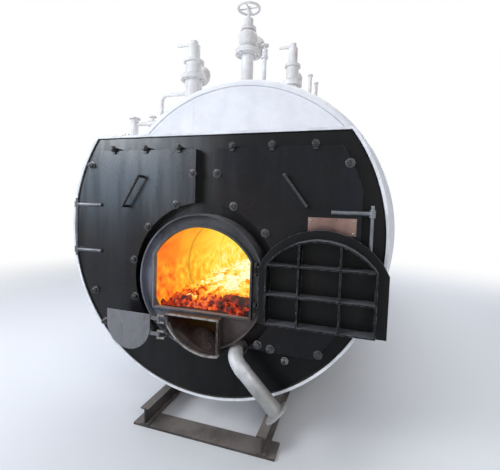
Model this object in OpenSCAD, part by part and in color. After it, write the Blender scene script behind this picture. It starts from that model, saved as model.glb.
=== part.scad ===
// Horizontal wood-fired fire-tube boiler. X is to the right seen from the front,
// Y runs from the front towards the back, Z is up. The floor is z = 0 and the
// smokebox front plate is at y = 0.

/* [Boiler body] */
// Gap between the shell and the floor
ground_gap = 200; // [150:10:300]
// Outer radius of the cladded shell
shell_r = 1200; // [1160:5:1230]
// Length of the cladded shell
shell_len = 4200; // [3600:50:5000]
// Thickness of the shell with its cladding
shell_t = 14; // [8:1:20]
// Outer radius of the furnace tube
furnace_r = 437; // [435:1:445]
// Wall of the furnace tube
furnace_t = 10; // [8:1:12]
// How far the furnace axis lies below the drum axis
furnace_drop = 303; // [290:1:315]

/* [Smokebox] */
// How much smaller the smokebox's radius is than the shell's
smokebox_step = 88; // [65:1:100]
// Depth of the smokebox from its front plate to the shell
smokebox_len = 500; // [400:10:700]
// Drop of the flat top below the smokebox's crown
flat_cut = 452; // [430:1:500]
// Thickness of the smokebox plates
smokebox_t = 10; // [8:1:14]
// Width of the rim round the front plate
rim_w = 17; // [12:1:30]

/* [Smokebox doors] */
// Distance of the doors' outer edge from the smokebox's outside
door_inset = 102; // [95:1:110]
// How far inside that edge the doors are cut straight
door_cut = 45; // [35:1:55]
// Half width of the strip between the doors
strip_half = 65; // [55:1:75]
// Distance of the doors' top edge below the flat top
door_top_gap = 110; // [90:1:125]
// Height of the fixed plate below the doors, from the smokebox's bottom
door_foot = 412; // [400:1:430]
// Depth of the door boxes
door_depth = 70; // [55:1:75]
// Gap between the furnace collar and the doors
door_ring_gap = 73; // [63:1:80]
// Reach of the door clamps in front of the doors
clamp_reach = 36; // [25:1:38]

/* [Furnace mouth] */
// Reach of the furnace collar in front of the smokebox
collar_reach = 120; // [110:1:120]
// Half width of the fire opening, outside of its frame
fire_half = 350; // [340:1:352]
// Drop of the opening's sill below the furnace axis
sill_drop = 194; // [188:1:196]
// Height of the straight sides of the opening
fire_side = 352; // [340:1:360]
// Rise of the arch over the opening
fire_rise = 205; // [190:1:210]
// Bar thickness of the frame round the opening
frame_t = 12; // [8:1:14]

/* [Fire door] */
// Distance of the fire door's hinge line inside the furnace collar
fire_hinge_gap = 47; // [44:1:49]
// Half width of the fire door plate
fire_door_half = 362; // [355:1:362]
// Thickness of the fire door plate
fire_door_t = 8; // [6:1:9]
// Depth of the ribs on the fire door
fire_rib_depth = 90; // [60:1:95]
// Thickness of the fire door ribs
fire_rib_t = 9; // [6:1:12]
// Half width of the fire door's rib frame
fire_rib_half = 300; // [280:1:305]

/* [Ash chute and ash door] */
// How far the chute stands in front of the smokebox
chute_reach = 170; // [160:1:180]
// Wall of the ash chute
chute_t = 12; // [8:1:14]
// Radius of the chute's curved floor
chute_r = 330; // [320:1:335]
// Radius of the ash door's round bottom
ash_door_r = 168; // [150:1:172]
// Thickness of the ash door
ash_door_t = 6; // [5:1:10]

/* [Air inlet] */
// Outer radius of the air pipe
air_r = 46; // [38:1:48]
// Distance of the air pipe from the middle
air_x = 250; // [240:5:270]

/* [Base] */
// Height of the skid beams
skid_h = 140; // [120:1:160]
// Distance of each skid beam from the middle
skid_x = 430; // [400:10:500]

/* [Top fittings] */
// Outer radius of the steam outlet pipe
steam_r = 54; // [45:1:60]
// Distance of the front row of fittings behind the shell's front
front_row = 400; // [300:10:460]

/* [Hidden] */
$fn = 192;
run_fit = 0.06;
eps = 1;

// Boiler body and smokebox
axis_z = shell_r + ground_gap;
smokebox_r = shell_r - smokebox_step;
flat_top = smokebox_r - flat_cut;
furnace_z = axis_z - furnace_drop;
bore_r = furnace_r - furnace_t;
rim_over = 8;
plate_r = smokebox_r - rim_w + rim_over;
rim_r = smokebox_r + rim_over;
rim_y = -12;
knuckle_r = 60;
shell_y0 = smokebox_len;
shell_y1 = smokebox_len + shell_len;
tube_plate_t = 16;
band_w = 40;
band_t = 3;
band_n = 5;
band_end = 60;
bay_len = (shell_len - knuckle_r - 2 * band_end - band_w) / (band_n - 1);
rear_len = 450;
rear_r = shell_r - 60;
flue_r = 210;
flue_t = 6;
flue_y = shell_y1 + rear_len / 2;

// Smokebox doors
door_r = smokebox_r - door_inset;
door_half = door_r - door_cut;
door_top = flat_top - door_top_gap;
door_bottom = smokebox_r - door_foot;
door_cut_r = furnace_r + door_ring_gap;
door_t = 8;
strap_levels = [axis_z - 160, axis_z + 170];
strap_r = 12;
strap_y = -door_depth - 5;
strap_in = door_r - 210;
rod_x = door_r + 10;
rod_r = 10;
rod_y = -door_depth - 5;
handle_r = 10;
handle_gap = 50;
handle_left = [[-462, 372], [-586, 169]];
handle_right = [[529, 378], [663, 201]];

// Furnace mouth
mouth_y = -86;
mouth_t = 12;
frame_y = 10 - collar_reach;
sill_z = furnace_z - sill_drop;
fire_spring = sill_z + fire_side;
fire_top = fire_spring + fire_rise;

// Fire door and its hinge
fire_pin_x = bore_r - fire_hinge_gap;
fire_pin_y = -collar_reach - 4;
fire_plate_y0 = fire_pin_y + 1;
fire_pin_r = 7;
fire_knuckle_r = 12;
fire_knuckle_l = 40;
fire_lug_t = 14;
fire_lug_z = 30;
fire_levels = [furnace_z - 127, furnace_z + 117];
fire_door_bottom = sill_z - 8;
fire_door_spring = fire_spring - 15;
fire_door_top = fire_top + 10;
rib_bottom = sill_z + 17;
rib_spring = fire_spring + 10;
rib_top = fire_top - frame_t - 30;
rib_levels = [sill_z + 192, rib_spring];
rib_x = 112;

// Ash chute, its door and hinge
chute_cx = 90;
chute_cz = furnace_z - 112;
chute_x0 = -192;
chute_x1 = 150;
chute_top = sill_z - frame_t - 14;
ash_pin_x = chute_x0 - chute_t - 44;
ash_pin_y = -chute_reach - 14;
ash_pin_r = 6;
ash_knuckle_r = 11;
ash_knuckle_l = 26;
ash_lug_t = 12;
ash_lug_z = 22;
ash_levels = [chute_top - 129, chute_top - 27];
ash_door_top = chute_top - 5;
ash_door_gap = 60;
ash_door_cx = ash_pin_x - ash_door_gap - ash_door_r;
ash_door_cz = chute_top - 89;
ash_plate_y = ash_pin_y - 3;

// Air inlet
air_plate_r = 54;
air_z = furnace_z - sqrt(pow(furnace_r + air_plate_r + 2, 2) - air_x * air_x);
air_bend = 92;
air_lead = 62;
air_drop = 30;
air_run = 290;
air_flange_r = air_r + 36;
air_bolt_r = air_r + 20;
air_tilt = 45;
air_y = -air_lead - air_bend;
air_join = -air_bend - air_drop;

// Base
saddle_y = [bay(0.5), bay(3.5)];
saddle_t = 16;
saddle_w = 300;
saddle_half = 0.55 * shell_r;
saddle_top = axis_z - 0.78 * shell_r;
skid_y0 = -60;
skid_y1 = shell_y1 + 100;
skid_w = 66;
web_t = 10;
foot_l = 160;
foot_t = 16;

// Grate
grate_z = sill_z - 23;
grate_len = 0.55 * shell_len;
grate_bar_w = 24;
grate_bar_h = 40;
grate_pitch = 62;
grate_half = sqrt(pow(bore_r, 2) - pow(furnace_z - grate_z + grate_bar_h, 2));
grate_n = floor((grate_half - grate_bar_w / 2) / grate_pitch);

// Top fittings
front_y = shell_y0 + front_row;
shell_top = axis_z + shell_r;
gauge_x = -shell_r - 62;

// Middle of the k-th bay between two bands (k = 0.5 is the first bay's middle).
function bay(k) = shell_y0 + knuckle_r + band_end + band_w / 2 + k * bay_len;

// Height of the shell's surface at x.
function shell_z(x) = axis_z + sqrt(shell_r * shell_r - x * x);

white = [0.90, 0.90, 0.88];
black = [0.07, 0.08, 0.10];
grey = [0.42, 0.43, 0.43];
steel = [0.66, 0.67, 0.67];
rust = [0.36, 0.20, 0.13];
red = [0.62, 0.16, 0.12];

// A shape drawn in x and z, pushed from y0 to y1.
module slab(y0, y1) {
  translate([0, y1, 0])
    rotate([90, 0, 0])
      linear_extrude(height = y1 - y0)
        children();
}

// A round bar along Y, X or Z.
module bar_y(x, z, r, y0, y1) {
  translate([x, y1, z])
    rotate([90, 0, 0])
      cylinder(r = r, h = y1 - y0);
}

module bar_x(y, z, r, x0, x1) {
  translate([x0, y, z])
    rotate([0, 90, 0])
      cylinder(r = r, h = x1 - x0);
}

module bar_z(x, y, r, z0, z1) {
  translate([x, y, z0])
    cylinder(r = r, h = z1 - z0);
}

// Disc about the drum axis with the smokebox's flat top.
module flat_disc(r, top) {
  intersection() {
    translate([0, axis_z])
      circle(r = r);
    translate([-r - eps, axis_z - r - eps])
      square([2 * r + 2 * eps, top + r + eps]);
  }
}

// Arched outline: straight sides from z0 to spring, a low arch up to top.
module arch(half, z0, spring, top) {
  rise = top - spring;
  r = (half * half + rise * rise) / (2 * rise);
  translate([-half, z0])
    square([2 * half, spring - z0]);
  intersection() {
    translate([0, top - r])
      circle(r = r);
    translate([-half, spring - eps])
      square([2 * half, rise + 2 * eps]);
  }
}

// Pipe section about the drum axis or the furnace axis.
module ring(r, t, z = axis_z) {
  translate([0, z])
    difference() {
      circle(r = r);
      circle(r = r - t);
    }
}

module boiler_shell() {
  color(white)
    slab(shell_y0 + knuckle_r, shell_y1)
      ring(shell_r, shell_t);
}

// White end face of the shell with its rounded corner.
module front_end_ring() {
  inner = smokebox_r - smokebox_t;
  corner = shell_r - knuckle_r;
  color(white)
    translate([0, shell_y0 + knuckle_r, axis_z])
      rotate([90, 0, 0])
        rotate_extrude()
          difference() {
            union() {
              translate([inner, knuckle_r - shell_t])
                square([corner - inner, shell_t]);
              intersection() {
                translate([corner, 0])
                  circle(r = knuckle_r);
                translate([corner, 0])
                  square([knuckle_r, knuckle_r]);
              }
            }
            translate([corner, 0])
              circle(r = knuckle_r - shell_t);
          }
}

module shell_bands() {
  color(white)
    for (i = [0 : band_n - 1])
      slab(bay(i) - band_w / 2, bay(i) + band_w / 2)
        ring(shell_r + band_t, band_t);
}

module front_tube_plate() {
  color(rust)
    slab(shell_y0, shell_y0 + tube_plate_t)
      difference() {
        translate([0, axis_z])
          circle(r = smokebox_r - smokebox_t);
        translate([0, furnace_z])
          circle(r = furnace_r);
      }
}

module rear_tube_plate() {
  color(rust)
    slab(shell_y1 - tube_plate_t, shell_y1)
      difference() {
        translate([0, axis_z])
          circle(r = shell_r - shell_t);
        translate([0, furnace_z])
          circle(r = furnace_r);
      }
}

module furnace_tube() {
  color(rust)
    slab(smokebox_t, shell_y1)
      ring(furnace_r, furnace_t, furnace_z);
}

module rear_smokebox() {
  color(white)
    difference() {
      slab(shell_y1, shell_y1 + rear_len)
        ring(rear_r, smokebox_t);
      bar_z(0, flue_y, flue_r + 0.3, axis_z, axis_z + 2 * rear_r);
    }
}

module rear_cover() {
  y = shell_y1 + rear_len;
  color(white) {
    slab(y, y + 14)
      translate([0, axis_z])
        circle(r = rear_r + 25);
    slab(y + 14, y + 54)
      translate([0, furnace_z])
        circle(r = 260);
    slab(y + 54, y + 84)
      for (a = [0 : 45 : 315])
        translate([230 * sin(a), furnace_z + 230 * cos(a)])
          circle(r = 14);
  }
}

module flue_outlet() {
  z0 = axis_z + rear_r - 60;
  z1 = z0 + 320;
  color(white)
    difference() {
      union() {
        bar_z(0, flue_y, flue_r, z0, z1);
        bar_z(0, flue_y, flue_r + 45, z1 - 12, z1);
      }
      bar_z(0, flue_y, flue_r - flue_t, z0 - eps, z1 + eps);
      for (i = [0 : 11])
        rotate_about(0, flue_y, i * 30)
          bar_z(flue_r + 25, flue_y, 7, z1 - 20, z1 + eps);
    }
}

// Turn about the upright line through x, y.
module rotate_about(x, y, a) {
  translate([x, y, 0])
    rotate([0, 0, a])
      translate([-x, -y, 0])
        children();
}

module smokebox_wrapper() {
  color(white)
    slab(smokebox_t, smokebox_len)
      difference() {
        flat_disc(smokebox_r, flat_top);
        flat_disc(smokebox_r - smokebox_t, flat_top - smokebox_t);
      }
}

module smokebox_rim() {
  color(white)
    slab(rim_y, smokebox_t)
      difference() {
        flat_disc(rim_r, flat_top + rim_over);
        flat_disc(plate_r, flat_top - rim_w + rim_over);
      }
}

module smokebox_front_plate() {
  color(black)
    slab(0, smokebox_t)
      difference() {
        flat_disc(plate_r, flat_top - rim_w + rim_over);
        translate([0, furnace_z])
          circle(r = furnace_r);
        for (s = [-1, 1])
          door_hole(s);
      }
}

// Outline of one smokebox door, grown by g (s = -1 left, 1 right).
module door_outline(s, g = 0) {
  x0 = s < 0 ? -door_half - g : strip_half - g;
  w = door_half - strip_half + 2 * g;
  difference() {
    intersection() {
      translate([0, axis_z])
        circle(r = door_r + g);
      translate([x0, axis_z - door_bottom - g])
        square([w, door_bottom + door_top + 2 * g]);
    }
    translate([0, furnace_z])
      circle(r = door_cut_r - g);
  }
}

module door_hole(s) {
  difference() {
    door_outline(s, -60);
    translate([0, furnace_z])
      circle(r = door_cut_r + 60);
  }
}

module smokebox_door(s) {
  color(black)
    difference() {
      slab(-door_depth, 0)
        door_outline(s);
      slab(-door_depth + door_t, eps)
        door_outline(s, -door_t);
    }
}

module smokebox_door_left() {
  smokebox_door(-1);
}

module smokebox_door_right() {
  smokebox_door(1);
}

module door_hinges() {
  color(black)
    for (s = [-1, 1]) {
      for (z = strap_levels)
        difference() {
          union() {
            intersection() {
              bar_x(strap_y, z, strap_r, s > 0 ? strap_in : -rod_x, s > 0 ? rod_x : -strap_in);
              translate([-rod_x, -2 * door_depth, z - 2 * strap_r])
                cube([2 * rod_x, door_depth, 4 * strap_r]);
            }
            bar_z(s * rod_x, rod_y, rod_r + 7, z - 22, z + 22);
            translate([s * rod_x - rod_r - 4, rod_y, z - strap_r + 1])
              cube([2 * rod_r + 8, -rod_y, 2 * strap_r - 2]);
          }
          bar_z(s * rod_x, rod_y, rod_r, z - 40, z + 40);
        }
      bar_z(s * rod_x, rod_y, rod_r, strap_levels[0] - 45, strap_levels[1] + 45);
    }
}

module rod_between(a, b, r) {
  d = b - a;
  translate(a)
    rotate([0, acos(d[2] / norm(d)), atan2(d[1], d[0])])
      cylinder(r = r, h = norm(d));
}

module door_handles() {
  y = -door_depth - handle_gap;
  color(black)
    for (h = [handle_left, handle_right]) {
      a = [h[0][0], y, axis_z + h[0][1]];
      b = [h[1][0], y, axis_z + h[1][1]];
      rod_between(a, b, handle_r);
      for (p = [a, b]) {
        bar_y(p[0], p[2], handle_r, y, -door_depth);
        translate(p)
          sphere(r = handle_r + 1);
      }
    }
}

// Clamp places as x and z offsets from the drum axis, for the right-hand side.
clamp_top_x = [strip_half + 122, 0.436 * door_r, 0.69 * door_r];
clamp_face = [
  [0.881 * door_r, 0.446 * door_r], [0.842 * door_r, -0.446 * door_r], [strip_half + 20, door_top - 157],
  [0.465 * door_r, 20 - door_bottom], [0.752 * door_r, 32 - door_bottom]
];
clamp_ring = [22.5, 51, 79, 107, 133];
clamp_ring_r = door_cut_r + 22;
plate_stud = [0.545 * door_r, -70 - door_bottom];
stud_r = 11;
nut_r = 17;
dog_t = 12;
dog_w = 26;
dog_h = 48;

// Stud and nut that stand on the door's face.
module face_clamp(x, z) {
  bar_y(x, z, stud_r, -door_depth - clamp_reach, -door_depth);
  bar_y(x, z, nut_r, -door_depth - 24, -door_depth);
}

// Stud beside the door's edge, with a dog that presses on the door.
module edge_clamp(x, z) {
  bar_y(x, z, stud_r, -door_depth - clamp_reach, 0);
  bar_y(x, z, nut_r, -door_depth - dog_t - 16, -door_depth - dog_t);
  translate([x - dog_w / 2, -door_depth - dog_t, z - 0.7 * dog_h])
    cube([dog_w, dog_t, dog_h]);
}

module door_clamps() {
  color(grey)
    for (s = [-1, 1]) {
      for (x = clamp_top_x)
        edge_clamp(s * x, axis_z + door_top + stud_r + 1);
      for (p = clamp_face)
        face_clamp(s * p[0], axis_z + p[1]);
      for (a = clamp_ring)
        face_clamp(s * clamp_ring_r * sin(a), furnace_z + clamp_ring_r * cos(a));
      bar_y(s * plate_stud[0], axis_z + plate_stud[1], stud_r, -40, 0);
      bar_y(s * plate_stud[0], axis_z + plate_stud[1], nut_r, -16, 0);
    }
}

// Outline of the ash chute, grown by g.
module chute_outline(g = 0) {
  intersection() {
    translate([chute_cx, chute_cz])
      circle(r = chute_r + g);
    translate([chute_x0 - g, chute_cz - chute_r - g - eps])
      square([chute_x1 - chute_x0 + 2 * g, chute_top - chute_cz + chute_r + 2 * g + eps]);
  }
}

module furnace_collar() {
  color(grey)
    slab(-collar_reach, smokebox_t)
      difference() {
        translate([0, furnace_z])
          circle(r = furnace_r);
        translate([0, furnace_z])
          circle(r = bore_r);
        chute_outline(chute_t);
      }
}

module furnace_mouth_plate() {
  color(grey)
    slab(mouth_y, mouth_y + mouth_t)
      difference() {
        translate([0, furnace_z])
          circle(r = bore_r);
        arch(fire_half - frame_t, sill_z, fire_spring, fire_top - frame_t);
        chute_outline(chute_t);
      }
}

module fire_door_frame() {
  color(grey)
    slab(frame_y, mouth_y)
      difference() {
        arch(fire_half, sill_z - frame_t, fire_spring, fire_top);
        arch(fire_half - frame_t, sill_z, fire_spring, fire_top - frame_t);
      }
}

// Round end of a hinge lug, centred at height z.
module lug(x, y, r, z, t) {
  bar_z(x, y, r, z - t / 2, z + t / 2);
}

module fire_hinge() {
  color(grey)
    for (z = fire_levels) {
      lug(fire_pin_x, fire_pin_y, fire_pin_r, z, 2 * (fire_lug_z + fire_lug_t));
      for (d = [-1, 1])
        difference() {
          union() {
            lug(fire_pin_x, fire_pin_y, fire_knuckle_r, z + d * fire_lug_z, fire_lug_t);
            translate([fire_pin_x - 8, fire_pin_y, z + d * fire_lug_z - fire_lug_t / 2])
              cube([16, mouth_y - fire_pin_y, fire_lug_t]);
          }
          bar_z(fire_pin_x, fire_pin_y, fire_pin_r, z - 60, z + 60);
        }
    }
}

// The fire door closed, then turned half a turn about its pin.
module fire_door() {
  color(black)
    rotate_about(fire_pin_x, fire_pin_y, 180)
      difference() {
        union() {
          slab(fire_plate_y0, fire_plate_y0 + fire_door_t)
            arch(fire_door_half, fire_door_bottom, fire_door_spring, fire_door_top);
          fire_ribs();
          for (z = fire_levels) {
            lug(fire_pin_x, fire_pin_y, fire_knuckle_r, z, fire_knuckle_l);
            translate([fire_door_half - 10, fire_plate_y0, z - fire_knuckle_l / 2])
              cube([fire_pin_x - fire_door_half + 10, fire_door_t, fire_knuckle_l]);
          }
        }
        for (z = fire_levels)
          bar_z(fire_pin_x, fire_pin_y, fire_pin_r + run_fit, z - 60, z + 60);
      }
}

module fire_ribs() {
  y0 = fire_plate_y0 + fire_door_t;
  slab(y0, y0 + fire_rib_depth) {
    difference() {
      arch(fire_rib_half, rib_bottom, rib_spring, rib_top);
      arch(fire_rib_half - fire_rib_t, rib_bottom + fire_rib_t, rib_spring, rib_top - fire_rib_t);
    }
    intersection() {
      arch(fire_rib_half, rib_bottom, rib_spring, rib_top);
      union() {
        for (s = [-1, 1])
          translate([s * rib_x - fire_rib_t / 2, rib_bottom])
            square([fire_rib_t, rib_top - rib_bottom]);
        for (z = rib_levels)
          translate([-fire_rib_half, z - fire_rib_t / 2])
            square([2 * fire_rib_half, fire_rib_t]);
      }
    }
  }
}

module ash_chute() {
  color(grey)
    difference() {
      slab(-chute_reach, smokebox_t)
        chute_outline(chute_t);
      slab(-chute_reach - eps, smokebox_t + eps)
        chute_outline();
      // behind the front plate only the part inside the furnace tube goes on
      slab(0, smokebox_t + 2 * eps)
        difference() {
          translate([-600, 0])
            square([1200, 1600]);
          translate([0, furnace_z])
            circle(r = bore_r);
        }
    }
}

module ash_hinge() {
  wall_x = chute_x0 - chute_t;
  color(steel)
    for (z = ash_levels) {
      bar_z(ash_pin_x, ash_pin_y, ash_pin_r, z - ash_lug_z - 8, z + ash_lug_z + 8);
      for (d = [-1, 1])
        difference() {
          union() {
            lug(ash_pin_x, ash_pin_y, ash_knuckle_r, z + d * ash_lug_z, ash_lug_t);
            translate([ash_pin_x, ash_pin_y - 5, z + d * ash_lug_z - ash_lug_t / 2])
              cube([wall_x - ash_pin_x - 8, 10, ash_lug_t]);
            translate([wall_x - 12, ash_pin_y - 5, z + d * ash_lug_z - ash_lug_t / 2])
              cube([12, 60, ash_lug_t]);
          }
          bar_z(ash_pin_x, ash_pin_y, ash_pin_r, z - 60, z + 60);
        }
    }
}

// The ash door, open half a turn to the left.
module ash_door() {
  color(steel)
    difference() {
      union() {
        slab(ash_plate_y - ash_door_t, ash_plate_y) {
          intersection() {
            translate([ash_door_cx, ash_door_cz])
              circle(r = ash_door_r);
            translate([ash_door_cx - ash_door_r, ash_door_top - 2 * ash_door_r])
              square([2 * ash_door_r, 2 * ash_door_r]);
          }
          translate([ash_door_cx - ash_door_r, ash_door_cz])
            square([2 * ash_door_r, ash_door_top - ash_door_cz]);
        }
        for (z = ash_levels) {
          lug(ash_pin_x, ash_pin_y, ash_knuckle_r, z, ash_knuckle_l);
          translate([ash_pin_x - ash_door_gap - 60, ash_plate_y, z - 12])
            cube([120 - ash_knuckle_r + 2, 6, 24]);
        }
      }
      for (z = ash_levels)
        bar_z(ash_pin_x, ash_pin_y, ash_pin_r + run_fit, z - 60, z + 60);
    }
}

module grate() {
  color(rust) {
    for (i = [-grate_n : grate_n])
      translate([i * grate_pitch - grate_bar_w / 2, 40, grate_z - grate_bar_h])
        cube([grate_bar_w, grate_len, grate_bar_h]);
    for (f = [0.04, 0.5, 0.94])
      intersection() {
        slab(40 + f * grate_len, 80 + f * grate_len)
          translate([-600, grate_z - grate_bar_h - 50])
            square([1200, 50]);
        slab(0, shell_y1)
          translate([0, furnace_z])
            circle(r = bore_r);
      }
  }
}

// Seen from the front, the pipe's plane leans to the right below air_x, air_z.
module air_place() {
  translate([air_x, 0, air_z])
    rotate([0, -air_tilt, 0])
      children();
}

// Air pipe out of the front plate, with its bend.
module air_elbow() {
  color(steel)
    air_place() {
      bar_y(0, 0, air_r + 2, -air_lead - 12, 0);
      bar_y(0, 0, air_plate_r, -10, 0);
      translate([0, -air_lead, -air_bend])
        rotate([90, 0, -90])
          rotate_extrude(angle = 90)
            translate([air_bend, 0])
              circle(r = air_r);
      bar_z(0, air_y, air_r + 2, air_join, -air_bend + 12);
    }
}

// Sloping leg of the air pipe, with its end flange.
module air_leg() {
  z1 = air_join - air_run;
  color(steel)
    air_place()
      difference() {
        union() {
          bar_z(0, air_y, air_r, z1, air_join);
          bar_z(0, air_y, air_flange_r, z1 - 12, z1);
        }
        bar_z(0, air_y, air_r - 3, z1 - 12 - eps, air_join - 20);
        for (a = [45 : 90 : 315])
          bar_z(air_bolt_r * cos(a), air_y + air_bolt_r * sin(a), 6, z1 - 12 - eps, z1 + eps);
      }
}

module skid_beams() {
  h = skid_h - foot_t;
  side = (skid_w - web_t) / 2;
  color(grey)
    for (s = [-1, 1])
      slab(skid_y0, skid_y1)
        translate([s * skid_x, foot_t])
          difference() {
            translate([-skid_w / 2, 0])
              square([skid_w, h]);
            for (x = [-skid_w / 2 - eps, web_t / 2])
              translate([x, web_t])
                square([side + eps, h - 2 * web_t]);
          }
}

module foot_plates() {
  color(grey)
    for (y = [skid_y0, saddle_y[0] - foot_l / 2, saddle_y[1] - foot_l / 2, skid_y1 - foot_l])
      translate([-skid_x - 90, y, 0])
        cube([2 * skid_x + 180, foot_l, foot_t]);
}

// Each saddle is a base plate, a top plate on the shell and webs between them.
module saddles() {
  color(grey)
    for (y = saddle_y) {
      slab(y - saddle_w / 2, y + saddle_w / 2)
        difference() {
          saddle_block();
          saddle_pocket();
        }
      slab(y - saddle_t / 2, y + saddle_t / 2)
        saddle_pocket();
    }
}

module saddle_block() {
  difference() {
    translate([-saddle_half, skid_h])
      square([2 * saddle_half, saddle_top - skid_h]);
    translate([0, axis_z])
      circle(r = shell_r);
  }
}

module saddle_pocket() {
  difference() {
    translate([-saddle_half, skid_h + saddle_t])
      square([2 * saddle_half, saddle_top - skid_h]);
    translate([0, axis_z])
      circle(r = shell_r + saddle_t);
    for (x = [-saddle_half, -skid_x, skid_x - saddle_t, saddle_half - saddle_t])
      translate([x, 0])
        square([saddle_t, saddle_top]);
  }
}

// An upright pipe on the shell, with a flange at its top.
module nozzle(x, y, r, top, fr, ft = 20) {
  base = floor(shell_z(abs(x) + r)) - 2;
  difference() {
    union() {
      bar_z(x, y, r, base, top);
      bar_z(x, y, fr, top - ft, top);
    }
    slab(y - r - 50, y + r + 50)
      translate([0, axis_z])
        circle(r = shell_r);
  }
}

steam_x = -70;
steam_flange_r = 110;
steam_flange_z = shell_top + 370;
valve_z = steam_flange_z + 120;

module steam_outlet() {
  color(white)
    nozzle(steam_x, front_y, steam_r, steam_flange_z, steam_flange_r);
}

module steam_valve() {
  z = steam_flange_z;
  color(white) {
    bar_z(steam_x, front_y, steam_flange_r, z, z + 20);
    bar_z(steam_x, front_y, steam_r, z + 20, z + 60);
    translate([steam_x, front_y, valve_z])
      sphere(r = 88);
    bar_z(steam_x, front_y, 70, z + 186, z + 216);
    bar_z(steam_x, front_y, 42, z + 170, z + 290);
    bar_z(steam_x, front_y, 14, z + 290, z + 400);
    steam_branch();
  }
  color(red)
    translate([steam_x, front_y, z + 385]) {
      rotate_extrude()
        translate([95, 0])
          circle(r = 11);
      for (a = [0 : 90 : 270])
        rotate([0, 0, a])
          bar_x(0, 0, 7, 12, 95);
    }
}

// Side branch of the steam valve, towards the back, with its flange.
module steam_branch() {
  y0 = front_y + 70;
  y1 = front_y + 190;
  difference() {
    union() {
      bar_y(steam_x, valve_z, steam_r, y0, y1);
      bar_y(steam_x, valve_z, steam_flange_r, y1 - 20, y1);
    }
    bar_y(steam_x, valve_z, 50, y1 - 100, y1 + eps);
    for (a = [22.5 : 45 : 337.5])
      bar_y(steam_x + 90 * sin(a), valve_z + 90 * cos(a), 9, y1 - 30, y1 + eps);
  }
}

// Spring-loaded safety valve on a nozzle: r is the nozzle's outer radius.
module safety_valve(x, y, r, flange_z) {
  fr = 1.5 * r;
  color(white) {
    nozzle(x, y, r, flange_z, fr);
    bar_z(x, y, fr, flange_z, flange_z + 18);
    bar_z(x, y, 0.95 * r, flange_z + 18, flange_z + 140);
    bar_z(x, y, 1.2 * r, flange_z + 140, flange_z + 160);
    bar_z(x, y, 0.7 * r, flange_z + 160, flange_z + 300);
    bar_z(x, y, 0.45 * r, flange_z + 300, flange_z + 340);
    bar_y(x, flange_z + 80, 0.7 * r, y, y + 1.9 * r);
    bar_y(x, flange_z + 80, 1.2 * r, y + 1.9 * r, y + 1.9 * r + 16);
  }
  color(red)
    translate([x - 2.2 * r, y - 6, flange_z + 306])
      cube([2.2 * r, 12, 20]);
}

module safety_valve_left() {
  safety_valve(-600, front_y - 10, 80, shell_top + 185);
}

module safety_valve_right() {
  safety_valve(345, front_y, 56, shell_top + 62);
}

// Air vent with its valve, and two thin posts.
module vent_pipes() {
  x = 90;
  z = shell_top + 320;
  color(white) {
    nozzle(x, front_y, 18, z, 30, 16);
    bar_z(x, front_y, 26, z, z + 60);
    bar_z(x, front_y, 8, z + 60, z + 90);
    nozzle(500, front_y, 15, shell_top + 130, 22, 14);
    nozzle(553, front_y, 13, shell_top + 60, 18, 12);
  }
  color(red)
    bar_z(x, front_y, 34, z + 90, z + 102);
}

module manhole() {
  y = bay(2.5);
  r = 230;
  z = shell_top + 90;
  color(white) {
    nozzle(0, y, r, z, r + 50, 28);
    bar_z(0, y, r + 50, z, z + 28);
    for (a = [0 : 30 : 330])
      translate([(r + 24) * sin(a), y + (r + 24) * cos(a), z + 28])
        cylinder(r = 15, h = 20);
    bar_z(0, y, 14, z + 28, z + 60);
  }
}

module feed_inlet() {
  y = bay(1.5);
  z = axis_z + 120;
  x1 = shell_r + 120;
  color(white)
    difference() {
      union() {
        bar_x(y, z, 30, shell_r - 60, x1);
        bar_x(y, z, 75, x1 - 18, x1);
      }
      bar_x(y, z, 25, x1 - 90, x1 + eps);
      slab(y - 200, y + 200)
        translate([0, axis_z])
          circle(r = shell_r);
      for (a = [45 : 90 : 315])
        bar_x(y + 55 * sin(a), z + 55 * cos(a), 9, x1 - 30, x1 + eps);
    }
}

module blowdown() {
  y = bay(2.5);
  z = axis_z - shell_r;
  color(grey)
    difference() {
      union() {
        bar_z(0, y, 27, z - 125, z + 20);
        bar_z(0, y, 60, z - 92, z - 60);
        translate([0, y, z - 125])
          sphere(r = 34);
        bar_x(y, z - 125, 27, 0, 160);
        bar_x(y, z - 125, 60, 160, 176);
      }
      slab(y - 60, y + 60)
        translate([0, axis_z])
          circle(r = shell_r);
    }
}

pipe_r = 17;
pipe_turn = 60;
pipe_x = -945;
pipe_top = shell_top + 55;
gauge_top = axis_z + 990;
gauge_low = axis_z + 330;

// Bent pipe from the left safety valve's nozzle down to the gauge column.
module gauge_pipe() {
  x1 = -600 - 80.3;
  color(white) {
    bar_x(front_y, pipe_top, pipe_r, pipe_x + pipe_turn, x1);
    translate([pipe_x + pipe_turn, front_y, pipe_top - pipe_turn])
      rotate([90, 0, 0])
        rotate([0, 0, 90])
          rotate_extrude(angle = 90)
            translate([pipe_turn, 0])
              circle(r = pipe_r);
    bar_z(pipe_x, front_y, pipe_r, gauge_top, pipe_top - pipe_turn);
    translate([pipe_x, front_y, gauge_top])
      sphere(r = pipe_r + 8);
    bar_x(front_y, gauge_top, pipe_r, gauge_x + 38.3, pipe_x);
    bar_x(front_y, gauge_top, 30, pipe_x - 150, pipe_x - 60);
    bar_z(pipe_x - 105, front_y, 12, gauge_top, gauge_top + 60);
  }
  color(red)
    bar_z(pipe_x - 105, front_y, 38, gauge_top + 60, gauge_top + 70);
}

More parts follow.
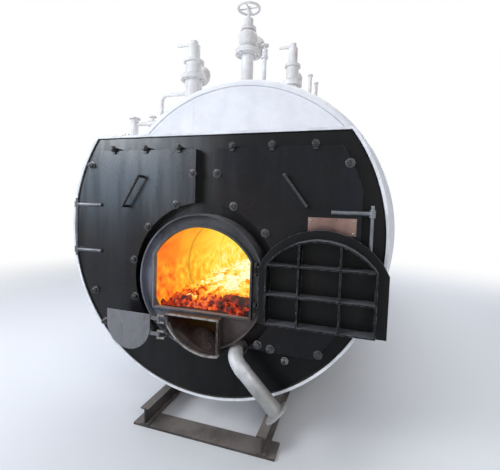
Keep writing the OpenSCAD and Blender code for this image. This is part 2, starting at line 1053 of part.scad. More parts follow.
module gauge_column() {
  color(white) {
    bar_z(gauge_x, front_y, 38, gauge_low - 60, gauge_top + 50);
    bar_z(gauge_x, front_y, 56, gauge_top + 50, gauge_top + 64);
    bar_z(gauge_x, front_y, 56, gauge_low - 74, gauge_low - 60);
    difference() {
      bar_x(front_y, gauge_low, pipe_r, gauge_x, -shell_r + 100);
      slab(front_y - 2 * pipe_r, front_y + 2 * pipe_r)
        translate([0, axis_z])
          circle(r = shell_r + 0.3);
    }
  }
}

module level_gauge() {
  y = front_y - 110;
  z0 = gauge_low + 120;
  color(steel) {
    translate([gauge_x - 20, y - 18, z0])
      cube([40, 36, 420]);
    for (z = [z0 + 20, z0 + 400]) {
      bar_y(gauge_x, z, 12, y, front_y - 38.3);
      bar_x(y, z, 14, gauge_x - 60, gauge_x + 20);
    }
  }
}

// Dial gauge on a side branch of the gauge column.
module pressure_gauge() {
  x = gauge_x - 135;
  z = gauge_top - 270;
  color(steel) {
    bar_x(front_y, z, 9, x + 40, gauge_x - 38.3);
    bar_y(x, z, 55, front_y - 25, front_y + 25);
  }
}

module lifting_lugs() {
  color(white)
    for (k = [0.75, 3.25], s = [-1, 1])
      slab(bay(k) - 10, bay(k) + 10)
        difference() {
          translate([s * 430, shell_top - 60])
            circle(r = 90);
          translate([s * 430, shell_top - 10])
            circle(r = 28);
          translate([0, axis_z])
            circle(r = shell_r);
        }
}

boiler_shell();
front_end_ring();
shell_bands();
front_tube_plate();
rear_tube_plate();
furnace_tube();
rear_smokebox();
rear_cover();
flue_outlet();
smokebox_wrapper();
smokebox_rim();
smokebox_front_plate();
smokebox_door_left();
smokebox_door_right();
door_hinges();
door_handles();
door_clamps();
furnace_collar();
furnace_mouth_plate();
fire_door_frame();
fire_hinge();
fire_door();
ash_chute();
ash_hinge();
ash_door();
grate();
air_elbow();
air_leg();
skid_beams();
foot_plates();
saddles();
steam_outlet();
steam_valve();
safety_valve_left();
safety_valve_right();
vent_pipes();
manhole();
feed_inlet();
blowdown();
gauge_pipe();
gauge_column();
level_gauge();
pressure_gauge();
lifting_lugs();
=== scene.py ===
"""Looks of a horizontal wood-fired fire-tube boiler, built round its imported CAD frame."""

import random
from functools import partialmethod
from math import acos, cos, degrees, pi, radians, sin, sqrt

import bmesh
import bpy
from mathutils import Matrix, Vector


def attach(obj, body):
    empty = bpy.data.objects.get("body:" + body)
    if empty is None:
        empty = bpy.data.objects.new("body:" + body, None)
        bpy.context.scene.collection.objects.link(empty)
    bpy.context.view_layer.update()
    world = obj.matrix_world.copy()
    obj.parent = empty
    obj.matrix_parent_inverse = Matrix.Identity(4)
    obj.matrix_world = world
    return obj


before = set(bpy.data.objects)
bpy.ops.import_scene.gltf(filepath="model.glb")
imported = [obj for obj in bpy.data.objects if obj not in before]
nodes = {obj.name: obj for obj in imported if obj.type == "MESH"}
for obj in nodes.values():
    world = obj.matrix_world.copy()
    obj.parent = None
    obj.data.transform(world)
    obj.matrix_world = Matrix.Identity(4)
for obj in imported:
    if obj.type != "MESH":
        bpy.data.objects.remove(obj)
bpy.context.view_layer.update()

# Main sizes of the CAD part, in metres.
AXIS_Z = 1.400
SHELL_R = 1.200
SMOKEBOX_R = 1.112
SHELL_FRONT = 0.500
SEAM_R = 1.137
FLAT_TOP = 0.660
PLATE_R = 1.103
RIM_DROP = 0.009
FURNACE_Z = 1.097
COLLAR_R = 0.4385
DOOR_FACE = -0.070
DOOR_R = 1.010
DOOR_TOP = 0.550
DOOR_BOTTOM = 0.700
DOOR_CUT_R = 0.510
STRIP_HALF = 0.065
CHUTE_FRONT = -0.170
CHUTE_MID = (0.090, 0.985)
CHUTE_FLOOR_R = 0.330
CHUTE_TOP = 0.877
GRATE_Z = 0.880
BAND_START = 0.640
BAND_PITCH = 0.995
BANDS = 5
SADDLE_BAYS = (0.5, 3.5)
SADDLE_BOLT_X = 0.4475
SADDLE_FOOT_TOP = 0.156
MANHOLE_BAY = 2.5
MANHOLE_TOP = AXIS_Z + SHELL_R + 0.138
REAR_COVER_Y = 5.164
REAR_PLUG_Y = 5.234

# Fittings on the drum: x, y and, where they are given, radius and flange height.
STEAM = (-0.070, 0.900)
STEAM_FLANGE_Z = 2.970
SAFETY_LEFT = (-0.600, 0.890, 0.080, 2.785)
SAFETY_RIGHT = (0.345, 0.900, 0.056, 2.662)
DIAL = (-1.397, 0.875, 2.120)
GAUGE_X = -1.262
GAUGE_FRONT = 0.772
GAUGE_LOW = 1.850

# Rounds of bolts, by the radius that they stand on.
STEAM_BOLTS_R = 0.085
MANHOLE_NUTS_R = 0.254
REAR_PLUG_NUTS_R = 0.230
REAR_COVER_BOLTS_R = 1.152

UP, DOWN = (0, 0, 1), (0, 0, -1)
FRONT, BACK = (0, -1, 0), (0, 1, 0)


def bay(k):
    """Place along the drum, counted in bands from the first."""
    return BAND_START + BAND_PITCH * k


def put_in_scene(name, data):
    obj = bpy.data.objects.new(name, data)
    bpy.context.scene.collection.objects.link(obj)
    return obj


# Camera

CAMERA_PLACE = (0.944, -2.030, 1.584)
CAMERA_TURNS = (-0.3103, -0.0607, 0.0322)
CAMERA_LENS = 24.106
CAMERA_SHIFT = -0.0139


def add_camera():
    yaw, pitch, roll = CAMERA_TURNS
    flat = cos(pitch)
    forward = Vector((sin(yaw) * flat, cos(yaw) * flat, sin(pitch)))
    level = Vector((cos(yaw), -sin(yaw), 0))
    upright = level.cross(forward)
    right = cos(roll) * level + sin(roll) * upright
    up = cos(roll) * upright - sin(roll) * level
    data = bpy.data.cameras.new("camera")
    data.sensor_fit = "HORIZONTAL"
    data.sensor_width = 36
    data.lens = CAMERA_LENS
    data.shift_y = CAMERA_SHIFT
    data.clip_end = 100
    camera = put_in_scene("camera", data)
    pose = Matrix((right, up, -forward)).transposed().to_4x4()
    pose.translation = CAMERA_PLACE
    camera.matrix_world = pose
    bpy.context.scene.camera = camera


# Node helpers

FLOAT, INT = "NodeSocketFloat", "NodeSocketInt"
GEOMETRY, OBJECT, MATERIAL = "NodeSocketGeometry", "NodeSocketObject", "NodeSocketMaterial"


class Graph:
    """Adds nodes to a material, a shader group or a Geometry Nodes tree and links them."""

    def __init__(self, tree):
        self.tree = tree

    def node(self, kind, settings=None, **inputs):
        """One node; an underscore in an input's name stands for a space."""
        made = self.tree.nodes.new(kind)
        for key, value in (settings or {}).items():
            setattr(made, key, value)
        return self.fill(made, **inputs)

    def fill(self, node, **inputs):
        for key, value in inputs.items():
            self.feed(node, key.replace("_", " "), value)
        return node

    def row(self, node, values):
        """Fills the inputs in their order."""
        for k, value in enumerate(values):
            self.feed(node, k, value)

    def feed(self, node, key, value):
        if isinstance(value, bpy.types.NodeSocket):
            self.tree.links.new(value, node.inputs[key])
        else:
            node.inputs[key].default_value = value

    def math(self, kind, *values):
        made = self.node("ShaderNodeMath", {"operation": kind})
        self.row(made, values)
        return made.outputs[0]

    add, sub = partialmethod(math, "ADD"), partialmethod(math, "SUBTRACT")
    mul, madd = partialmethod(math, "MULTIPLY"), partialmethod(math, "MULTIPLY_ADD")
    abs, max = partialmethod(math, "ABSOLUTE"), partialmethod(math, "MAXIMUM")

    def clamp(self, value):
        return self.node("ShaderNodeClamp", Value=value).outputs[0]

    def ramp(self, value, lo, hi, a=0.0, b=1.0):
        """Smooth step from a to b while the value goes from lo to hi."""
        smooth = {"interpolation_type": "SMOOTHSTEP"}
        ends = dict(From_Min=lo, From_Max=hi, To_Min=a, To_Max=b)
        return self.node("ShaderNodeMapRange", smooth, Value=value, **ends).outputs[0]

    def mix(self, factor, a, b):
        made = self.node("ShaderNodeMix", {"data_type": "RGBA"})
        for key, value in ((0, factor), (6, a), (7, b)):
            self.feed(made, key, value)
        return made.outputs[2]

    def vector(self, kind, a, b):
        made = self.node("ShaderNodeVectorMath", {"operation": kind})
        self.feed(made, 0, a)
        self.feed(made, 3 if kind == "SCALE" else 1, b)
        return made.outputs[1 if kind in ("DOT_PRODUCT", "DISTANCE") else 0]

    def stretched(self, value, scale):
        return self.vector("MULTIPLY", value, scale)

    def axes(self, value):
        return list(self.node("ShaderNodeSeparateXYZ", Vector=value).outputs)

    def place(self):
        """Place on the part, in its own metres."""
        return self.node("ShaderNodeTexCoord").outputs["Object"]

    def spot(self):
        """The place and its x, y and z."""
        place = self.place()
        return place, *self.axes(place)

    def flat_normal(self):
        return self.node("ShaderNodeNewGeometry").outputs["Normal"]

    def rounded_normal(self, radius):
        return self.node("ShaderNodeBevel", {"samples": 4}, Radius=radius).outputs[0]

    def noise(self, vector, scale, detail=4.0, rough=0.55, distort=0.0):
        grain = dict(Scale=scale, Detail=detail, Roughness=rough, Distortion=distort)
        return self.node("ShaderNodeTexNoise", Vector=vector, **grain).outputs[0]


def group(name, kind, inputs, outputs):
    """A new node group: its graph, the sockets that come in, and the node that they leave by."""
    tree = bpy.data.node_groups.new(name, kind)
    for way, sockets in (("INPUT", inputs), ("OUTPUT", outputs)):
        for key, socket_type, *value in sockets:
            socket = tree.interface.new_socket(key, in_out=way, socket_type=socket_type)
            if value:
                socket.default_value = value[0]
    return Graph(tree), tree.nodes.new("NodeGroupInput").outputs, tree.nodes.new("NodeGroupOutput")


# Shader groups that every paint and steel shares


def shader_group(name, outputs=("Mask",), **inputs):
    """A shader group of plain numbers, each with the value that it starts from."""
    sockets = [(key, FLOAT, value) for key, value in inputs.items()]
    return group(name, "ShaderNodeTree", sockets, [(key, FLOAT) for key in outputs])


def make_edge_wear():
    """Mask of worn edges: where the rounded normal leaves the flat one, broken up by noise."""
    s, i, o = shader_group("edge wear", Radius=0.004, Amount=0.5, Breakup=40.0)
    bend = s.vector("DOT_PRODUCT", s.rounded_normal(i["Radius"]), s.flat_normal())
    broken = s.ramp(s.noise(s.place(), i["Breakup"], 6.0, 0.65), 0.40, 0.62)
    edge = s.ramp(s.sub(1.0, bend), 0.02, 0.22)
    s.feed(o, "Mask", s.clamp(s.mul(s.mul(edge, broken), i["Amount"])))
    return s.tree


def make_dust():
    """Mask of settled dust: upward faces first, with a thin uneven film elsewhere."""
    s, i, o = shader_group("settled dust", Top=0.6, Film=0.15, Size=5.0)
    place = s.place()
    rise = s.axes(s.flat_normal())[2]
    cloud = s.noise(place, i["Size"], 8.0, 0.6, 0.4)
    fine = s.noise(place, 160.0, 3.0, 0.7)
    top = s.mul(i["Top"], s.ramp(cloud, 0.25, 0.6, 0.45, 1.0))
    top = s.mul(s.ramp(rise, 0.2, 0.95), top)
    film = s.mul(s.ramp(s.madd(fine, 0.25, cloud), 0.48, 0.85), i["Film"])
    s.feed(o, "Mask", s.clamp(s.add(top, film)))
    return s.tree


def make_streaks():
    """Mask of runs down an upright face."""
    s, i, o = shader_group("runs and stains", Width=14.0, Low=0.55, High=0.8)
    place = s.place()
    long = s.noise(s.stretched(place, (1.0, 1.0, 0.12)), i["Width"], 5.0, 0.6)
    patch = s.noise(place, 2.3, 3.0, 0.5)
    both = s.madd(patch, 0.35, s.mul(long, 0.75))
    s.feed(o, "Mask", s.ramp(both, i["Low"], i["High"]))
    return s.tree


def make_surface():
    """Height of hand-painted plate: broad waviness, brush marks and fine grit."""
    s, i, o = shader_group("plate surface", ("Height", "Patch"), Wave=1.0, Brush=0.3, Grit=0.3)
    place = s.place()
    wave = s.noise(place, 2.6, 3.0, 0.5)
    brush = s.noise(s.stretched(place, (1.0, 1.0, 0.22)), 55.0, 4.0, 0.6)
    grit = s.noise(place, 320.0, 3.0, 0.7)
    small = s.madd(brush, i["Brush"], s.mul(grit, i["Grit"]))
    s.feed(o, "Height", s.madd(wave, i["Wave"], small))
    s.feed(o, "Patch", s.ramp(s.noise(place, 7.0, 8.0, 0.62, 0.3), 0.32, 0.68))
    return s.tree


EDGE = make_edge_wear()
DUST = make_dust()
STREAKS = make_streaks()
SURFACE = make_surface()


def use_group(s, tree, values):
    """Outputs of a group whose inputs have these values, in their order."""
    made = s.node("ShaderNodeGroup", {"node_tree": tree})
    s.row(made, values)
    return made.outputs


def new_material(name):
    material = bpy.data.materials.new(name)
    material.use_nodes = True
    return material, Graph(material.node_tree), material.node_tree.nodes["Principled BSDF"]


def rgb(r, g, b):
    """Colour from its 0-255 screen values."""
    linear = (((c / 255 + 0.055) / 1.055) ** 2.4 if c > 10.3 else c / 3294.6 for c in (r, g, b))
    return (*linear, 1.0)


def raise_surface(s, shader, height, distance):
    """Feeds the shader's normal from a height, and returns the node for more inputs."""
    lift = s.node("ShaderNodeBump", Height=height, Distance=distance)
    s.feed(shader, "Normal", lift.outputs[0])
    return lift


ROUNDING = 0.6
COAT_ROUGHNESS = 0.26


def painted(
    name, base, shade, dust, worn, stain, rough,
    surface=(1.0, 0.3, 0.3), edge=(0.004, 0.5, 40.0), dusty=(0.5, 0.15, 5.0), run=(14.0, 0.62, 0.9),
    bump=0.0015, metal=0.0, specular=0.5, gloss=None, extra=None,
):
    """Worn paint or steel. Colours are screen values; surface, edge, dusty and run go to the
    inputs of the four groups above, in their order."""
    material, s, shader = new_material(name)
    plate = use_group(s, SURFACE, surface)
    wear = use_group(s, EDGE, edge)["Mask"]
    film = use_group(s, DUST, dusty)["Mask"]
    runs = use_group(s, STREAKS, run)["Mask"]
    colour = s.mix(plate["Patch"], rgb(*base), rgb(*shade))
    colour = s.mix(runs, colour, rgb(*stain))
    if extra:
        colour = extra(s, colour)
    colour = s.mix(wear, colour, rgb(*worn))
    colour = s.mix(film, colour, rgb(*dust))
    roughness = s.max(s.ramp(plate["Patch"], 0.0, 1.0, *rough), s.madd(film, 0.55, 0.25))
    s.fill(shader, Base_Color=colour, Roughness=roughness)
    s.fill(shader, Metallic=metal, Specular_IOR_Level=specular)
    if gloss:
        coat = s.mul(s.sub(1.0, film), gloss(s))
        s.fill(shader, Coat_Weight=coat, Coat_Roughness=COAT_ROUGHNESS)
    lift = raise_surface(s, shader, plate["Height"], bump)
    s.feed(lift, "Normal", s.rounded_normal(edge[0] * ROUNDING))
    return material


def heat_stain(centre, reach, colour, strength):
    """Colour that fades out round a hot place."""

    def add(s, under):
        place = s.place()
        far = s.vector("DISTANCE", place, centre)
        ragged = s.madd(s.noise(place, 9.0, 6.0, 0.6), 0.5 * reach, far)
        return s.mix(s.ramp(ragged, 0.45 * reach, 1.3 * reach, strength, 0.0), under, rgb(*colour))

    return add


def seam_lines(s, under):
    """Weld seam on the white end face, and the drum a little darker and browner low down."""
    place, x, y, z = s.spot()
    dz = s.sub(z, AXIS_Z)
    radius = s.math("SQRT", s.madd(x, x, s.mul(dz, dz)))
    low = s.ramp(z, 0.9, 0.3, 0.0, 0.55)
    # darker towards the bottom of the drum, broken up by noise
    low_darkening = s.mul(low, s.ramp(s.noise(place, 4.0, 7.0, 0.6), 0.35, 0.65))
    under = s.mix(low_darkening, under, rgb(150, 142, 134))
    near = s.ramp(s.abs(s.sub(radius, SEAM_R)), 0.0, 0.006, 0.7, 0.0)
    front = s.ramp(y, SHELL_FRONT + 0.06, SHELL_FRONT + 0.08, 1.0, 0.0)
    return s.mix(s.mul(near, front), under, rgb(150, 150, 158))


def painted_shade_round_mouth(s, under):
    """Painted shade over the top and right of the furnace mouth; its left side stays pale
    blue-grey, as if lit.
    """
    place, x, _, z = s.spot()
    over = s.madd(s.sub(z, FURNACE_Z), 0.45, x)
    over = s.madd(s.noise(place, 7.0, 6.0, 0.6), 0.22, over)
    # painted shade: the top and right of the mouth darkened to near black
    under = s.mix(s.ramp(over, -0.22, 0.12, 0.0, 0.92), under, rgb(26, 24, 26))
    burnt = s.mul(s.ramp(x, 0.02, 0.20), s.ramp(z, FURNACE_Z - 0.12, FURNACE_Z - 0.26))
    return s.mix(s.mul(burnt, 0.9), under, rgb(54, 40, 36))


def chute_lip(s, under):
    """Paler colour along the chute's front edge, on its lip and its top."""
    place, _, y, z = s.spot()
    across = s.vector("MULTIPLY", place, (1, 0, 1))
    reach = s.vector("DISTANCE", across, (CHUTE_MID[0], 0.0, CHUTE_MID[1]))
    curved = s.ramp(reach, CHUTE_FLOOR_R - 0.008, CHUTE_FLOOR_R - 0.002)
    lip = s.mul(s.ramp(y, CHUTE_FRONT + 0.020, CHUTE_FRONT + 0.036, 1.0, 0.0), curved)
    edge = s.ramp(y, CHUTE_FRONT + 0.004, CHUTE_FRONT + 0.012, 1.0, 0.0)
    top = s.mul(edge, s.ramp(z, CHUTE_TOP - 0.004, CHUTE_TOP))
    broken = s.ramp(s.noise(place, 26.0, 5.0, 0.6), 0.36, 0.56, 0.35, 0.95)
    return s.mix(s.mul(s.max(lip, top), broken), under, rgb(158, 151, 146))


def flange_shadow(s, under):
    """Painted shadow darkens the air pipe's flange and its root at the front plate; the pipe is
    also darker towards the bottom.
    """
    _, y, z = s.axes(s.place())
    under = s.mix(s.ramp(z, 0.66, 0.46, 0.0, 0.72), under, rgb(104, 105, 100))
    # painted shadow over the flange and the pipe's root
    return s.mix(s.ramp(y, -0.086, -0.066), under, rgb(34, 27, 25))


def door_gloss(s):
    """The doors' enamel keeps its gloss high on the left and is dull low down and on the right."""
    place, x, _, z = s.spot()
    marks = s.noise(s.stretched(place, (1.0, 1.0, 0.12)), 8.0, 6.0, 0.62)
    high = s.ramp(s.madd(marks, 0.3, z), 1.25, 1.95, 0.25, 1.0)
    left = s.ramp(x, -0.15, 0.25, 1.0, 0.12)
    return s.mul(s.mul(high, left), s.ramp(marks, 0.38, 0.60, 0.55, 1.0))


def painted_sheen_and_heat_tint(s, under):
    """Upright streaks of painted sheen, and a warm tint from the heat round the furnace mouth."""
    marks = s.noise(s.stretched(s.place(), (1.0, 1.0, 0.10)), 9.0, 6.0, 0.62)
    # painted sheen: paler blue-grey upright streaks on the black
    under = s.mix(s.ramp(marks, 0.42, 0.66, 0.0, 0.8), under, rgb(17, 21, 30))
    mouth = (0.0, DOOR_FACE, FURNACE_Z + 0.1)
    return heat_stain(mouth, 0.78, (32, 22, 21), 0.8)(s, under)


# Paints and steels: name, two base colours, dust, worn edge, stain, roughness from and to

white_paint = painted(
    "white paint", (230, 231, 235), (221, 222, 227),
    (204, 200, 194), (150, 142, 138), (196, 189, 184), (0.42, 0.6),
    surface=(2.2, 0.25, 0.15), edge=(0.004, 0.45, 30.0), dusty=(0.30, 0.06, 3.0), bump=0.004,
    extra=seam_lines,
)
fitting_paint = painted(
    "white fitting paint", (232, 232, 232), (214, 212, 210),
    (196, 188, 180), (132, 84, 66), (184, 128, 112), (0.38, 0.6),
    surface=(0.3, 0.4, 0.5), edge=(0.004, 0.7, 60.0), dusty=(0.5, 0.12, 9.0),
    run=(24.0, 0.56, 0.88),
)
rim_paint = painted(
    "white rim paint", (236, 237, 240), (214, 215, 219),
    (190, 186, 180), (120, 116, 114), (168, 160, 154), (0.35, 0.55),
    surface=(0.4, 0.6, 0.3), edge=(0.003, 0.6, 50.0), dusty=(0.35, 0.16, 7.0),
)
# The doors' black carries upright streaks of painted sheen.
door_paint = painted(
    "black door paint", (6, 8, 12), (9, 11, 16),
    (112, 108, 106), (92, 92, 96), (34, 34, 38), (0.25, 0.31),
    surface=(1.6, 0.30, 0.10), edge=(0.004, 0.55, 45.0), dusty=(0.50, 0.02, 4.0),
    run=(10.0, 0.60, 0.92), bump=0.002, specular=0.16, gloss=door_gloss, extra=painted_sheen_and_heat_tint,
)
plate_paint = painted(
    "black plate paint", (6, 7, 9), (9, 10, 12),
    (104, 96, 90), (88, 82, 78), (26, 23, 22), (0.34, 0.42),
    surface=(1.4, 0.35, 0.2), dusty=(0.40, 0.015, 5.0), run=(12.0, 0.58, 0.88), bump=0.002,
    specular=0.14, gloss=door_gloss, extra=heat_stain((0.24, 0.0, 0.86), 0.26, (40, 30, 26), 0.7),
)
hardware_paint = painted(
    "black hardware paint", (15, 16, 20), (26, 26, 30),
    (118, 110, 104), (120, 116, 114), (44, 38, 36), (0.18, 0.34),
    surface=(0.2, 0.4, 0.5), edge=(0.003, 0.8, 70.0), dusty=(0.3, 0.03, 12.0),
)
hinge_paint = painted(
    "rubbed grey hinge paint", (118, 121, 127), (82, 85, 91),
    (150, 150, 152), (188, 190, 194), (70, 68, 70), (0.28, 0.45),
    surface=(0.2, 0.4, 0.5), edge=(0.003, 0.9, 70.0), dusty=(0.6, 0.08, 12.0), metal=0.6,
)
fire_door_paint = painted(
    "sooty fire door paint", (5, 6, 8), (10, 10, 12),
    (112, 114, 118), (158, 160, 164), (26, 23, 22), (0.36, 0.5),
    surface=(1.0, 0.4, 0.6), edge=(0.004, 0.9, 40.0), dusty=(0.75, 0.015, 8.0),
    run=(16.0, 0.56, 0.85), specular=0.18,
)
# Blue-grey collar steel; painted shade darkens it over the top and right of the furnace mouth.
collar_steel = painted(
    "dusty collar steel", (104, 107, 120), (84, 87, 98),
    (140, 138, 142), (150, 140, 132), (56, 46, 42), (0.45, 0.65),
    surface=(0.6, 0.4, 0.7), dusty=(0.65, 0.12, 6.0), run=(16.0, 0.55, 0.82), extra=painted_shade_round_mouth,
)
chute_steel = painted(
    "sooty chute steel", (30, 22, 19), (16, 13, 12),
    (92, 84, 80), (170, 164, 160), (44, 28, 22), (0.5, 0.75),
    surface=(0.5, 0.4, 0.8), edge=(0.006, 1.0, 30.0), dusty=(0.35, 0.03, 9.0),
    run=(20.0, 0.42, 0.7), extra=chute_lip,
)
ash_door_steel = painted(
    "dusty ash door steel", (110, 111, 115), (78, 78, 81),
    (152, 151, 154), (150, 146, 142), (60, 54, 50), (0.5, 0.75),
    surface=(0.5, 0.4, 0.7), dusty=(0.7, 0.5, 7.0), run=(12.0, 0.5, 0.8),
)
# The air pipe's flange and root carry painted shadow.
air_pipe_steel = painted(
    "aluminium paint on the air pipe", (226, 226, 228), (190, 190, 192),
    (176, 172, 166), (108, 100, 94), (122, 114, 108), (0.36, 0.55),
    surface=(0.2, 0.3, 0.5), dusty=(0.5, 0.2, 14.0), run=(26.0, 0.55, 0.8), metal=0.2,
    extra=flange_shadow,
)
base_steel = painted(
    "dull base steel paint", (24, 25, 28), (38, 38, 41),
    (120, 112, 106), (112, 84, 68), (70, 52, 44), (0.45, 0.7),
    surface=(0.6, 0.4, 0.6), edge=(0.004, 0.8, 40.0), dusty=(0.85, 0.3, 5.0),
    run=(14.0, 0.5, 0.8),
)
nut_steel = painted(
    "dull steel of the clamp nuts", (98, 99, 104), (56, 56, 60),
    (130, 124, 120), (186, 184, 182), (78, 62, 54), (0.26, 0.42),
    surface=(0.1, 0.3, 0.4), edge=(0.002, 0.9, 80.0), dusty=(0.4, 0.1, 14.0),
    run=(40.0, 0.52, 0.8), metal=0.6,
)
bare_steel = painted(
    "worn bare steel", (150, 150, 150), (112, 110, 109),
    (150, 142, 134), (190, 188, 184), (104, 78, 64), (0.3, 0.5),
    surface=(0.1, 0.3, 0.4), edge=(0.002, 0.9, 80.0), dusty=(0.5, 0.15, 14.0),
    run=(40.0, 0.52, 0.8), metal=0.8,
)
rusty_steel = painted(
    "heat-stained rusty steel", (110, 62, 42), (72, 40, 30),
    (128, 108, 96), (132, 92, 68), (50, 34, 28), (0.65, 0.85),
    surface=(0.4, 0.3, 1.0), dusty=(0.6, 0.2, 8.0), run=(18.0, 0.45, 0.75),
)
plate_copper = painted(
    "bare name plate", (122, 92, 84), (66, 53, 53),
    (118, 104, 98), (196, 170, 156), (150, 122, 110), (0.34, 0.5),
    surface=(0.1, 0.5, 0.3), edge=(0.0012, 0.9, 80.0), dusty=(0.4, 0.25, 16.0),
    run=(9.0, 0.40, 0.80), metal=0.45,
)


# Fire, ash, dial and glass


def fire_colour(s, heat, *stops):
    """Colour of the fire at a heat from 0 (dark) to 1 (white-hot)."""
    ramp = s.node("ShaderNodeValToRGB", Fac=heat)
    elements = ramp.color_ramp.elements
    for k, (at, colour) in enumerate(stops):
        stop = elements[k] if k < 2 else elements.new(at)
        stop.position = at
        stop.color = rgb(*colour)
    return ramp.outputs["Color"]


def glow_wall():
    """Furnace wall with the light of its fire painted on as glow: orange on the left, brightest
    deep inside and on the right, with a dark seam, and dark under the grate."""
    material, s, shader = new_material("glowing furnace wall")
    place, x, y, z = s.spot()
    cloud = s.noise(s.stretched(place, (1.0, 0.7, 1.0)), 4.2, 5.0, 0.62, 0.8)
    fine = s.noise(place, 16.0, 4.0, 0.6)
    deep = s.math("MINIMUM", s.madd(y, 0.36, 0.26), 0.66)
    belt = s.ramp(s.abs(s.sub(z, FURNACE_Z + 0.003)), 0.05, 0.30, 0.42, 0.0)
    deep = s.add(deep, s.mul(s.ramp(x, 0.10, 0.40), belt))
    heat = s.add(deep, s.madd(cloud, 0.40, -0.20))
    low = s.ramp(z, 1.24, 1.04)
    heat = s.add(heat, s.mul(low, s.madd(fine, 0.9, -0.42)))
    wavy = s.madd(y, 1.45, s.madd(cloud, 0.05, 0.6775))
    seam = s.ramp(s.abs(s.sub(s.math("FRACT", wavy), 0.5)), 0.004, 0.050, 0.62, 0.0)
    seam = s.mul(seam, s.ramp(y, 0.8, 1.5, 1.0, 0.15))
    colour = fire_colour(
        s, heat,
        (0.00, (120, 24, 8)), (0.16, (244, 84, 26)), (0.34, (255, 142, 32)), (0.52, (255, 192, 46)),
        (0.70, (255, 232, 84)), (0.88, (255, 250, 176)), (1.00, (255, 255, 238)),
    )
    specks = s.ramp(s.noise(place, 21.0, 4.0, 0.7), 0.56, 0.68)
    specks = s.mul(specks, s.ramp(z, 1.32, 1.10, 0.15, 0.62))
    colour = s.mix(s.max(seam, specks), colour, rgb(196, 118, 22))
    lit = s.ramp(z, GRATE_Z - 0.03, GRATE_Z + 0.01)
    brick = s.mix(cloud, rgb(28, 18, 15), rgb(48, 32, 26))
    glow = s.mix(lit, rgb(0, 0, 0), colour)
    s.fill(shader, Base_Color=brick, Emission_Color=glow, Emission_Strength=1.0, Roughness=0.85)
    raise_surface(s, shader, s.noise(place, 24.0, 6.0, 0.6), 0.004)
    return material


def ember(name, cool, scale):
    """Burning wood: dark red near the mouth and in its cracks, yellow-white deep inside."""
    material, s, shader = new_material(name)
    place, x, y, _ = s.spot()
    bend = s.node("ShaderNodeTexNoise", Vector=place, Scale=30.0).outputs[1]
    bent = s.vector("ADD", place, s.vector("SCALE", bend, 0.03))
    cells = s.node("ShaderNodeTexVoronoi", Vector=bent, Scale=scale)
    cloud = s.noise(place, 7.0, 5.0, 0.6, 0.5)
    fine = s.noise(place, 34.0, 5.0, 0.65)
    heat = s.madd(s.ramp(y, -0.05, 0.62), 0.62, 0.10 - cool)
    heat = s.add(heat, s.mul(s.ramp(x, 0.06, 0.34), s.ramp(y, 0.16, 0.55, 0.0, 0.28)))
    heat = s.add(heat, s.ramp(s.abs(s.add(x, 0.03)), 0.04, 0.20, 0.16, 0.0))
    heat = s.add(heat, s.madd(cloud, 0.75, -0.34))
    heat = s.add(heat, s.madd(fine, 0.55, -0.27))
    heat = s.add(heat, s.ramp(cells.outputs["Distance"], 0.1, 0.75, -0.10, 0.16))
    spark = s.vector("DISTANCE", place, (-0.155, 0.090, 0.945))
    heat = s.add(heat, s.ramp(spark, 0.02, 0.05, 0.55, 0.0))
    colour = fire_colour(
        s, heat,
        (0.00, (16, 5, 3)), (0.14, (62, 12, 6)), (0.28, (150, 32, 12)), (0.40, (226, 76, 20)),
        (0.54, (255, 138, 34)), (0.68, (255, 196, 56)), (0.82, (255, 238, 108)),
        (1.00, (255, 254, 214)),
    )
    char = s.mix(cloud, rgb(34, 20, 16), rgb(66, 56, 52))
    s.fill(shader, Base_Color=char, Emission_Color=colour, Emission_Strength=1.0, Roughness=0.9)
    raise_surface(s, shader, s.noise(place, 60.0, 6.0, 0.7), 0.006)
    return material


def ash_grey():
    material, s, shader = new_material("loose ash")
    place = s.place()
    cloud = s.noise(place, 14.0, 8.0, 0.65, 0.3)
    fine = s.noise(place, 90.0, 4.0, 0.7)
    colour = s.mix(s.ramp(cloud, 0.35, 0.65), rgb(22, 14, 12), rgb(48, 33, 28))
    colour = s.mix(s.ramp(fine, 0.60, 0.68), colour, rgb(112, 98, 92))
    s.fill(shader, Base_Color=colour, Roughness=0.95)
    raise_surface(s, shader, s.add(cloud, fine), 0.004)
    return material


DIAL_TICKS = 20
DIAL_SWEEP = 2.36
DIAL_SCALE_IN, DIAL_SCALE_OUT = 0.0375, 0.0435


def dial_face():
    """White gauge dial with a scale of ticks, painted by radius and angle."""
    material, s, shader = new_material("gauge dial")
    place = s.place()
    x, _, z = s.axes(s.vector("SUBTRACT", place, (DIAL[0], 0.0, DIAL[2])))
    radius = s.math("SQRT", s.madd(x, x, s.mul(z, z)))
    angle = s.math("ARCTAN2", x, z)
    turn = s.mul(angle, DIAL_TICKS / pi)
    tick = s.ramp(s.abs(s.sub(s.math("FRACT", turn), 0.5)), 0.38, 0.42)
    ring = s.ramp(radius, DIAL_SCALE_IN - 0.0005, DIAL_SCALE_IN + 0.0005)
    ring = s.mul(ring, s.ramp(radius, DIAL_SCALE_OUT - 0.0005, DIAL_SCALE_OUT + 0.0005, 1.0, 0.0))
    open_low = s.ramp(s.abs(angle), DIAL_SWEEP - 0.01, DIAL_SWEEP + 0.01, 1.0, 0.0)
    mark = s.mul(s.mul(tick, ring), open_low)
    colour = s.mix(s.noise(place, 90.0, 3.0, 0.6), rgb(232, 230, 222), rgb(216, 212, 202))
    s.fill(shader, Base_Color=s.mix(mark, colour, rgb(24, 24, 26)), Roughness=0.5)
    return material


